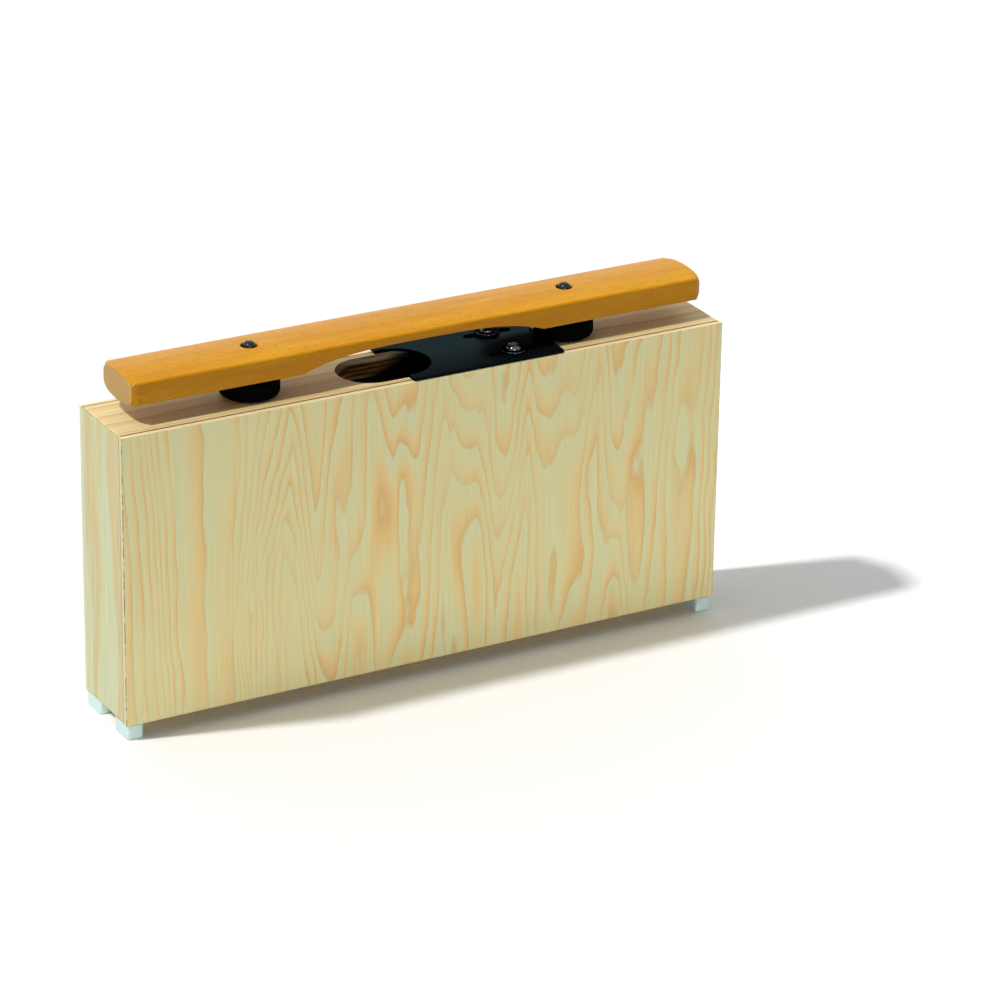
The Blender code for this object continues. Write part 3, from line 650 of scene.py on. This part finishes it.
# %% [markdown]
# ## Metals
# The pins, washers and screws are zinc-plated steel, its colour painted dark as painted shade
# for the dark surroundings it would mirror. Under the bar it mostly mirrors the bar's shaded
# underside, so it looks nearly black, and only its rims catch the light, while the crowns of the
# screws carry a painted glint. A plain dark colour would lose those sparks, so it stays a metal,
# with a dark tint at flat angles. The threaded inserts are turned brass. On both, noise makes
# faint clouds, more in the gloss than in the colour.

# %% Zinc and brass
def clouded(name, pale, dark, rough_low, rough_high, size, metallic=0.0):
    """Finish with patches of a size in millimetres, in its colour and in its gloss."""
    material, tree, shader = new_finish(name)
    patch = add(tree, "TexNoise", {"Vector": in_millimetres(tree), "Scale": 1 / size,
                                   "Detail": 3.0})
    colour = add(tree, "ValToRGB", {0: patch}, stops=((0.35, dark), (0.65, pale)))
    gloss = add(tree, "MapRange", {0: patch, 1: 0.3, 2: 0.7, 3: rough_low, 4: rough_high})
    add(tree, shader, {"Base Color": colour, "Roughness": gloss, "Metallic": metallic})
    return material, tree, shader, patch, colour


# Zinc: painted dark grey as painted shade, and cloudy. Brass: warm yellow, with the broad gleam of
# a turned surface.
ZINC, tree, shader, _, plating = clouded(
    "black_zinc_plated_steel", "#5A6062", "#4C5254", 0.14, 0.22, size=1.5, metallic=1.0)
BRASS = clouded("turned_brass", "#C9A653", "#AD8B42", 0.25, 0.40, size=1.0, metallic=1.0)[0]
# Painted glint: the crowns of the screw heads are painted bright.
SCREW_X, SCREW_Y, GLINT_RADIUS, GLINT_EDGE = 67.7, 18.0, 3.0, 3.6
at = add(tree, "SeparateXYZ", {0: in_millimetres(tree)})
off_x = add(tree, "Math", {0: at.outputs["X"], 1: SCREW_X}, operation="SUBTRACT")
off_y = add(tree, "Math", {0: at.outputs["Y"]}, operation="ABSOLUTE")
off_y = add(tree, "Math", {0: off_y, 1: SCREW_Y}, operation="SUBTRACT")
spread = add(tree, "Math", {0: off_x, 1: off_x}, operation="MULTIPLY")
spread = add(tree, "Math", {0: off_y, 1: off_y, 2: spread}, operation="MULTIPLY_ADD")
wear_and_glint = add(tree, "MapRange", {0: spread, 1: GLINT_RADIUS ** 2, 2: GLINT_EDGE ** 2, 3: 1.0, 4: 0.0})
painted_glint = add(tree, "Mix", {0: wear_and_glint, 6: plating, 7: srgb("#E2E6E6")})
add(tree, shader, {"Base Color": painted_glint, "Specular Tint": srgb("#101010")})
for node in NODES:
    if node.endswith(("_pin", "_screw", "_washer")):
        NODES[node].material_slots[0].material = ZINC
    if node.endswith("_insert"):
        NODES[node].material_slots[0].material = BRASS
print("metals:", ZINC.name, BRASS.name)

# %% [markdown]
# ## Rubber and black paint
# The rest pads are matt black rubber, which gives back almost no light, and the sleeves are
# polished and catch a small highlight. The feet are pale blue-white rubber. The slide is sheet
# steel under a smooth black paint, a dark cold mirror for the light that comes in under the bar.
# A clear coat would be as bright at every place. So the paint is made as a dark metal whose
# mirror fades out as painted shade: round the front screw, along the front edge, and at the
# rim of the hollow by the right pad.

# %% Rubber and paint
# Real moulding grit is 0.1 to 0.3 mm; it is drawn at 0.8 mm, so that it shows.
GRIT = 0.8


def moulded(name, pale, dark, rough_low, rough_high, relief, shine):
    """Rubber or paint with fine grit in colour, gloss and relief."""
    material, tree, shader, grit, _ = clouded(name, pale, dark, rough_low, rough_high, GRIT)
    bump = add(tree, "Bump", {"Height": grit, "Strength": relief, "Distance": 0.1 * MM})
    add(tree, shader, {"Normal": bump, "Specular IOR Level": shine})
    return material


BLACK_RUBBER = moulded("black_rubber", "#040505", "#020303", 0.45, 0.65, 0.1, 0.008)
SLEEVE_RUBBER = moulded("polished_black_rubber", "#060C0E", "#040809", 0.26, 0.34, 0.1, 0.34)
PALE_RUBBER = moulded("pale_rubber", "#CCDFDB", "#BDD3D0", 0.5, 0.65, 0.1, 0.3)
BLACK_PAINT = moulded("black_painted_steel", "#0A1011", "#080D0E", 0.28, 0.34, 0.0, 0.001)
print("rubber:", BLACK_RUBBER.name, SLEEVE_RUBBER.name, PALE_RUBBER.name)

# %% Painted shade on the slide's paint
# Painted shade: the mirror fades out round the front screw, towards the front edge and at the rim
# of the hollow.
PATCH_SHADE_AT, PATCH_SHADE_REACH, PATCH_SHADE_IN, PATCH_SHADE_OUT = (85.0, -20.0), (37.0, 26.0), 0.7, 1.5
EDGE_SHADE_FROM, EDGE_SHADE_TO, EDGE_SHADE_LEAST = -32.0, 4.0, 0.5
SLIDE_HIGH, RIM_IN, RIM_OUT = 212.5, 21.8, 23.4

tree, shader = BLACK_PAINT.node_tree, BLACK_PAINT.node_tree.nodes["Principled BSDF"]
point = in_millimetres(tree)
at = add(tree, "SeparateXYZ", {0: point})
spread = 0.0
for axis, centre, reach in zip("XY", PATCH_SHADE_AT, PATCH_SHADE_REACH):
    off = add(tree, "Math", {0: at.outputs[axis], 1: centre}, operation="SUBTRACT")
    off = add(tree, "Math", {0: off, 1: reach}, operation="DIVIDE")
    spread = add(tree, "Math", {0: off, 1: off, 2: spread}, operation="MULTIPLY_ADD")
shiny = add(tree, "MapRange", {0: spread, 1: PATCH_SHADE_IN, 2: PATCH_SHADE_OUT},
            interpolation_type="SMOOTHSTEP")
front_shade = add(tree, "MapRange", {0: at.outputs["Y"], 1: EDGE_SHADE_FROM, 2: EDGE_SHADE_TO,
                                 3: EDGE_SHADE_LEAST, 4: 1.0})
shiny = add(tree, "Math", {0: shiny, 1: front_shade}, operation="MULTIPLY")
# Painted shade: the mirror fades at the rim of the hollow by the pad.
rim = add(tree, "VectorMath", {0: point, 1: (NODE_X, 0.0, SLIDE_HIGH)}, operation="DISTANCE")
rim = add(tree, "MapRange", {0: rim.outputs["Value"], 1: RIM_IN, 2: RIM_OUT})
shiny = add(tree, "Math", {0: shiny, 1: rim}, operation="MULTIPLY")
add(tree, shader, {"Metallic": shiny, "Specular Tint": srgb("#C0C9CA")})
print("paint:", BLACK_PAINT.name)

# %% [markdown]
# ## Varnished hardwood
# The bar is a dense tropical hardwood under an amber varnish. Long faint bands run along it, and
# its vessels are cut open as short dark dashes on the long faces and as dots on the ends. Drawn
# dashes would need a map for each face. Noise that is stretched along the bar gives both from
# one field: dashes along the grain, dots across. The direction of the surface sets the rest: the
# sides are darker than the top as painted shade, the ends are paler, and the sanded edge round
# them palest as a painted highlight.

# %% Hardwood
# Varnished hardwood: deep amber, almost even, with a satin gleam along the bar.
HARDWOOD, tree, shader = new_finish("varnished_hardwood")
point = in_millimetres(tree)
band = add(tree, "TexNoise", {"Vector": add(tree, "Mapping", {
    "Vector": point, "Scale": spacing(70, 8, 8)}), "Scale": 1.0})
amber = add(tree, "ValToRGB", {0: band},
            stops=((0.3, "#D9940A"), (0.5, "#E19D0D"), (0.7, "#E8A718")))
# Vessels are about 0.15 mm wide; they are drawn 0.6 mm wide and 3 mm long, so that they show.
vessel = add(tree, "TexNoise", {"Vector": add(tree, "Mapping", {
    "Vector": point, "Scale": spacing(3, 0.6, 0.6)}), "Scale": 1.0, "Detail": 1.0})
dash = add(tree, "MapRange", {0: vessel, 1: 0.60, 2: 0.72})
wood = add(tree, "Mix", {0: dash, 6: amber, 7: srgb("#C48814")})
fibre = add(tree, "TexNoise", {"Vector": add(tree, "Mapping", {
    "Vector": point, "Scale": spacing(9, 0.9, 0.9)}), "Scale": 1.0})
streak = add(tree, "ValToRGB", {0: fibre}, stops=((0.3, "#D2BFA6"), (0.65, "#FFFFFF")))
wood = add(tree, "Mix", {0: 0.35, 6: wood, 7: streak}, blend_type="MULTIPLY")
# Painted shade: the sides are darker than the top.
normal = add(tree, "SeparateXYZ", {0: add(tree, "TexCoord").outputs["Normal"]})
side = add(tree, "MapRange", {0: normal.outputs["Z"], 1: 0.3, 2: 0.98, 3: 0.62, 4: 0.0})
wood = add(tree, "Mix", {0: side, 6: wood, 7: srgb("#6E430C")})
facing = add(tree, "Math", {0: normal.outputs["X"]}, operation="ABSOLUTE")
end = add(tree, "MapRange", {0: facing, 1: 0.6, 2: 0.9, 3: 0.0, 4: 0.8})
wood = add(tree, "Mix", {0: end, 6: wood, 7: srgb("#B08F4F")})
# Painted highlight: the sanded edge round each end is painted pale.
painted_light = add(tree, "Math", {0: facing, 1: 0.82, 2: 0.13}, operation="COMPARE")
painted_light = add(tree, "Math", {0: painted_light, 1: 0.25}, operation="MULTIPLY")
wood = add(tree, "Mix", {0: painted_light, 6: wood, 7: srgb("#E6C27C")})
rough = add(tree, "MapRange", {0: fibre, 3: 0.24, 4: 0.34})
bump = add(tree, "Bump", {"Height": dash, "Strength": 0.08, "Distance": -0.1 * MM})
add(tree, shader, {"Base Color": wood, "Roughness": rough, "Normal": bump,
                   "Specular IOR Level": 0.10})
print("hardwood:", HARDWOOD.name)

# %% [markdown]
# ## The sound bar
# The bar is planed with a slightly crowned top and a rounded belly, its ends are sanded round,
# and an arch is hollowed out of the belly to tune it. A plain cube with a bevel would be flat on
# top. So a cube is cut into strips along its length, and the strips' edges are raised and lowered
# into the two curves. Each end is extruded, narrowed and brought down at its corners. The arch is
# cut with a block whose top was raised in the same way, and the node holes with a drill that
# widens at the top, which breaks their rims. The long edges are eased last: a wide bevel along
# the top, and a finer one below that runs on into the arch.

# %% Bar blank
BAR_HALF, BAR_REACH = 208.3, 22.75
SIDE_LOW, SIDE_HIGH, CROWN, BELLY = 225.8, 241.0, 2.3, 3.0
STRIPS, CORNER_LONG, CORNER_WIDE, NEAR = 20, 3.8, 2.7, 0.01

bar = block("sound_bar_shaped", (CORNER_LONG - BAR_HALF, -BAR_REACH, SIDE_LOW),
            (BAR_HALF - CORNER_LONG, BAR_REACH, SIDE_HIGH))
pick("EDGE", lambda e: abs(middle(e).y) < 1)
bpy.ops.mesh.subdivide(number_cuts=STRIPS - 1)
for level, swell in ((SIDE_HIGH, CROWN), (SIDE_LOW, -BELLY)):
    for strip in range(1, STRIPS):
        y = BAR_REACH * (2 * strip / STRIPS - 1)
        pick("VERT", lambda v: abs(middle(v).y - y) < NEAR and abs(middle(v).z - level) < NEAR)
        bpy.ops.transform.translate(value=(0, 0, swell * (1 - (y / BAR_REACH) ** 2) * MM))
print("strips across the bar:", STRIPS)

# %% Sanded ends of the bar
SANDED_WIDE, SANDED_DEEP, END_EDGE = 8.0, 4.5, 1.2

narrow = 1 - CORNER_WIDE / BAR_REACH
end_reach = narrow * BAR_REACH
side_middle = (SIDE_LOW + SIDE_HIGH) / 2
for end in (-1, 1):
    pick("FACE", lambda f: f.normal.x * end > SQUARE_ON)
    extrude(end * CORNER_LONG, 0, 0)
    bpy.ops.transform.resize(value=(1, narrow, 1), center_override=(0, 0, 0))
    for strip in range(STRIPS + 1):
        y = end_reach * (2 * strip / STRIPS - 1)
        into = max(0.0, 1 - (end_reach - abs(y)) / SANDED_WIDE)
        drop = SANDED_DEEP * (1 - math.sqrt(1 - into ** 2))
        for side in (-1, 1):
            pick("VERT", lambda v: middle(v).x * end > BAR_HALF - NEAR
                 and abs(middle(v).y - y) < NEAR and (middle(v).z - side_middle) * side > 0)
            bpy.ops.transform.translate(value=(0, 0, -side * drop * MM))
    pick("EDGE", lambda e: middle(e).x * end > BAR_HALF - NEAR and sharp(e))
    ease(END_EDGE, segments=2)
print("ends sanded:", END_EDGE, "mm")

# %% Bar arch and node holes
ARCH_HALF, ARCH_DEPTH, ARCH_POWER, ARCH_COLUMNS = 95.0, 12.0, 3.5, 48
ARCH_REACH, ARCH_FOOT = 40, 20
NODE_HOLE, NODE_RIM, DRILL_LOW = 5.6, 0.5, 215
TOP_EASE, ARCH_EASE = 1.8, 1.0


def flared_drill(x):
    """Rod with a wider top, so that the hole it cuts has a broken rim."""
    rim_low, rim_high = SIDE_HIGH + CROWN - NODE_RIM, 3 * NODE_RIM
    drill = round_rod("node_hole", x, 0, DRILL_LOW, rim_low, NODE_HOLE, sides=64)
    pick("FACE", lambda f: f.normal.z > SQUARE_ON)
    extrude(0, 0, rim_high)
    flare = 1 + rim_high / NODE_HOLE
    bpy.ops.transform.resize(value=(flare, flare, 1), center_override=(x * MM, 0, 0))
    return drill


bpy.ops.object.mode_set(mode="OBJECT")
belly = SIDE_LOW - BELLY
arch = block("arch", (-ARCH_HALF, -ARCH_REACH, belly - ARCH_FOOT), (ARCH_HALF, ARCH_REACH, belly))
pick("EDGE", lambda e: abs(middle(e).x) < 1)
bpy.ops.mesh.subdivide(number_cuts=ARCH_COLUMNS - 1)
for column in range(1, ARCH_COLUMNS):
    x = ARCH_HALF * (2 * column / ARCH_COLUMNS - 1)
    rise = ARCH_DEPTH * (1 - abs(x / ARCH_HALF) ** ARCH_POWER)
    pick("VERT", lambda v: abs(middle(v).x - x) < NEAR and middle(v).z > belly - 1)
    bpy.ops.transform.translate(value=(0, 0, rise * MM))
carve(bar, arch)
for x in (-NODE_X, NODE_X):
    carve(bar, flared_drill(x))
for low, high, width in ((SIDE_HIGH - 1, SIDE_HIGH + 1, TOP_EASE), (0, SIDE_HIGH - 4, ARCH_EASE)):
    pick("EDGE", lambda e: sharp(e) and abs(middle(e).y) > BAR_REACH - NEAR
         and low < middle(e).z < high)
    ease(width, segments=5)
complete(bar, HARDWOOD)
stand_for(bar, "sound_bar", "sound_bar")

# %% [markdown]
# ## Rest pads and pin sleeves
# Each end of the bar lies on a thick rubber disc with a hole for its pin, and a domed rubber
# sleeve on the pin keeps the wood off the steel. A cut would leave a face with many corners round
# the hole, so the disc is a cylinder whose two caps are inset to the bore, opened and bridged. The
# sleeve's dome is one wide bevel of its top rim, and its bore is an inset of the bottom, pushed up.

# %% Rest pads
PAD_LOW, PAD_HIGH, PAD_RADIUS, PAD_BORE, PAD_EASE = 210.5, 222.5, 19.8, 2.7, 3.6


def open_bore(radius, bore):
    """Opens a hole through an upright cylinder: both caps inset, removed and bridged."""
    pick("FACE", lambda f: abs(f.normal.z) > SQUARE_ON)
    bpy.ops.mesh.inset(thickness=(radius - bore) * MM)
    bpy.ops.mesh.delete(type="FACE")
    pick("EDGE", lambda e: e.is_boundary)
    bpy.ops.mesh.bridge_edge_loops()


pad = round_rod("left_rest_pad_moulded", -NODE_X, 0, PAD_LOW, PAD_HIGH, PAD_RADIUS, sides=96)
open_bore(PAD_RADIUS, PAD_BORE)
pick("EDGE", lambda e: sharp(e) and math.hypot(middle(e).x + NODE_X, middle(e).y) > PAD_BORE + 1)
ease(PAD_EASE, segments=7)
complete(pad, BLACK_RUBBER)
stand_for_pair(pad, ("left_rest_pad", "right_rest_pad"), (2 * NODE_X, 0, 0))

# %% Pin sleeves
SLEEVE_LOW, SLEEVE_HIGH, SLEEVE_RADIUS, SLEEVE_BORE = 222.8, 245.9, 4.3, 2.7
SLEEVE_DOME, SLEEVE_CAP = 3.4, 2.4

sleeve = round_rod("left_pin_sleeve_moulded", -NODE_X, 0, SLEEVE_LOW, SLEEVE_HIGH,
                   SLEEVE_RADIUS, sides=48)
pick("EDGE", lambda e: middle(e).z > SLEEVE_HIGH - NEAR)
ease(SLEEVE_DOME, segments=8)
pick("FACE", lambda f: f.normal.z < -SQUARE_ON)
bpy.ops.mesh.inset(thickness=(SLEEVE_RADIUS - SLEEVE_BORE) * MM)
extrude(0, 0, SLEEVE_HIGH - SLEEVE_CAP - SLEEVE_LOW)
complete(sleeve, SLEEVE_RUBBER)
stand_for_pair(sleeve, ("left_pin_sleeve", "right_pin_sleeve"), (2 * NODE_X, 0, 0))

# %% [markdown]
# ## The tuning slide
# A sheet of steel, two millimetres thick, is punched with a round notch that uncovers the sound
# hole, a hollow that clears the right pad, and two slots for the clamping screws. An outline could
# be drawn as a curve and extruded. Punching it as in the workshop keeps each hole's size as a
# number: a punch is a cylinder, and a slot or a deep notch one whose halves were pulled apart.

# %% Slide plate
SLIDE_LOW, SLIDE_LEFT, SLIDE_RIGHT, SLIDE_REACH = 210.5, -12.6, 98.7, 31.5
SLIDE_CORNER, SLIDE_EDGE, NOTCH_RADIUS, NOTCH_X, NOTCH_PULL = 1.6, 0.25, 24.0, -10.6, 30
HOLLOW_RADIUS, SLOT_HALF, SLOT_RADIUS, PUNCH_PAST = 20.2, 17.5, 3.3, 2


def punch(x, y, radius, left, right):
    """Round cutter through the plate, its left and right halves pulled out in millimetres."""
    cutter = round_rod("punch", x, y, SLIDE_LOW - PUNCH_PAST, SLIDE_HIGH + PUNCH_PAST,
                       radius, sides=98)
    for pull in (-left, right):
        pick("VERT", lambda v: (middle(v).x - x) * pull > 0.001)
        bpy.ops.transform.translate(value=(pull * MM, 0, 0))
    return cutter


slide = block("tuning_slide_punched", (SLIDE_LEFT, -SLIDE_REACH, SLIDE_LOW),
              (SLIDE_RIGHT, SLIDE_REACH, SLIDE_HIGH))
pick("EDGE", upright)
ease(SLIDE_CORNER, segments=5)
carve(slide, punch(NOTCH_X, 0, NOTCH_RADIUS, NOTCH_PULL, 0))
carve(slide, punch(NODE_X, 0, HOLLOW_RADIUS, 0, 0))
slot_pull = SLOT_HALF - SLOT_RADIUS
for y in (-SCREW_Y, SCREW_Y):
    carve(slide, punch(SCREW_X, y, SLOT_RADIUS, slot_pull, slot_pull))
pick("EDGE", sharp)
ease(SLIDE_EDGE, segments=2)
complete(slide, BLACK_PAINT)
stand_for(slide, "tuning_slide", "tuning_slide")

# %% [markdown]
# ## Washers and button screws
# A broad washer spreads each screw's force over its slot. The screw has a low round head with a
# hexagon socket. A bevelled cylinder would make a flat head, but half a flattened sphere gives it
# its true curve. Its flat side is inset and pushed down for the shank, and a six-sided punch
# makes the socket.

# %% Washers
WASHER_LOW, WASHER_HIGH, WASHER_RADIUS, WASHER_BORE, WASHER_EDGE = 212.8, 214.4, 8.5, 3.2, 0.25

washer = round_rod("front_slide_washer_turned", SCREW_X, -SCREW_Y, WASHER_LOW, WASHER_HIGH,
                   WASHER_RADIUS, sides=64)
open_bore(WASHER_RADIUS, WASHER_BORE)
pick("EDGE", sharp)
ease(WASHER_EDGE, segments=3)
complete(washer, ZINC)
stand_for_pair(washer, ("front_slide_washer", "rear_slide_washer"),
               (0, 2 * SCREW_Y, 0))

# %% Button screws
HEAD_LOW, HEAD_RADIUS, HEAD_HEIGHT, SHANK_RADIUS, SHANK_LOW = 214.7, 5.25, 3.3, 3.0, 198.5
SOCKET_HALF, SOCKET_DEPTH, SHANK_TIP = 2.0, 2.0, 1.0

cleared_bench()
bpy.ops.mesh.primitive_uv_sphere_add(segments=48, ring_count=24, radius=MM,
                                     location=Vector((SCREW_X, -SCREW_Y, HEAD_LOW)) * MM,
                                     scale=(HEAD_RADIUS, HEAD_RADIUS, HEAD_HEIGHT))
screw = opened("front_slide_screw_turned")
bpy.ops.mesh.bisect(plane_co=(0, 0, HEAD_LOW * MM), plane_no=(0, 0, -1), use_fill=True,
                    clear_outer=True)
pick("FACE", lambda f: f.normal.z < -SQUARE_ON)
bpy.ops.mesh.inset(thickness=(HEAD_RADIUS - SHANK_RADIUS) * MM)
extrude(0, 0, SHANK_LOW - HEAD_LOW)
pick("EDGE", lambda e: middle(e).z < SHANK_LOW + NEAR)
ease(SHANK_TIP, segments=1)
head_top = HEAD_LOW + HEAD_HEIGHT
carve(screw, round_rod("socket", SCREW_X, -SCREW_Y, head_top - SOCKET_DEPTH, head_top + PUNCH_PAST,
                       SOCKET_HALF / math.cos(math.pi / 6), sides=6))
complete(screw, ZINC)
stand_for_pair(screw, ("front_slide_screw", "rear_slide_screw"), (0, 2 * SCREW_Y, 0))

# %% [markdown]
# ## Feet
# Four small rubber blocks stand under the corners. Their upright edges are well rounded and their
# rims eased, and each is screwed on from below, with the screw's head sunk into the block. One
# bevel for all edges would round the rims too much, so the upright edges come first, on their
# own. One foot and one screw are made, and the other corners get copies.

# %% Rubber feet
FOOT_X, FOOT_Y, FOOT_HALF_X, FOOT_HALF_Y, FOOT_HIGH = 213.5, 21.25, 6.0, 9.75, 10.0
FOOT_CORNER, FOOT_EASE, SINK_RADIUS, SINK_TOP, FOOT_BORE = 2.4, 0.8, 3.2, 5.3, 1.7

foot = block("front_left_foot_moulded", (-FOOT_X - FOOT_HALF_X, -FOOT_Y - FOOT_HALF_Y, 0),
             (-FOOT_X + FOOT_HALF_X, -FOOT_Y + FOOT_HALF_Y, FOOT_HIGH))
pick("EDGE", upright)
ease(FOOT_CORNER, segments=6)
pick("EDGE", lambda e: not upright(e))
ease(FOOT_EASE, segments=3)
carve(foot, round_rod("sink", -FOOT_X, -FOOT_Y, -PUNCH_PAST, SINK_TOP, SINK_RADIUS, sides=40))
carve(foot, round_rod("bore", -FOOT_X, -FOOT_Y, SINK_TOP - 1, FOOT_HIGH + PUNCH_PAST,
                      FOOT_BORE, sides=32))
complete(foot, PALE_RUBBER)

# %% Foot screws
FOOT_HEAD_LOW, FOOT_HEAD_HIGH, FOOT_HEAD_RADIUS, FOOT_HEAD_EASE = 3.0, 5.0, 3.0, 0.8
FOOT_SHANK, FOOT_SCREW_TOP, FOOT_SCREW_TIP = 1.5, 24.2, 1.35
CROSS_HALF, CROSS_WIDTH, CROSS_DEPTH = 1.7, 0.35, 0.9

foot_screw = round_rod("front_left_foot_screw_turned", -FOOT_X, -FOOT_Y, FOOT_HEAD_LOW,
                       FOOT_HEAD_HIGH, FOOT_HEAD_RADIUS, sides=40)
pick("FACE", lambda f: f.normal.z > SQUARE_ON)
bpy.ops.mesh.inset(thickness=(FOOT_HEAD_RADIUS - FOOT_SHANK) * MM)
extrude(0, 0, FOOT_SCREW_TOP - FOOT_HEAD_HIGH)
pick("EDGE", lambda e: middle(e).z > FOOT_SCREW_TOP - NEAR)
ease(FOOT_SCREW_TIP, segments=2)
pick("EDGE", lambda e: middle(e).z < FOOT_HEAD_LOW + NEAR)
ease(FOOT_HEAD_EASE, segments=4)
for long_x, long_y in ((CROSS_HALF, CROSS_WIDTH), (CROSS_WIDTH, CROSS_HALF)):
    carve(foot_screw, block("cross", (-FOOT_X - long_x, -FOOT_Y - long_y, FOOT_HEAD_LOW - 1),
                            (-FOOT_X + long_x, -FOOT_Y + long_y, FOOT_HEAD_LOW + CROSS_DEPTH)))
complete(foot_screw, ZINC)

# %% Feet at the four corners
for side, x in (("left", 0), ("right", 2 * FOOT_X)):
    for end, y in (("front", 0), ("rear", 2 * FOOT_Y)):
        corner = f"{end}_{side}_foot"
        foot_here, screw_here = foot, foot_screw
        if x or y:
            foot_here = repeat(foot, corner + "_moulded", (x, y, 0))
            screw_here = repeat(foot_screw, corner + "_screw_turned", (x, y, 0))
        stand_for(foot_here, corner, "sound_box")
        stand_for(screw_here, corner + "_screw", "sound_box")
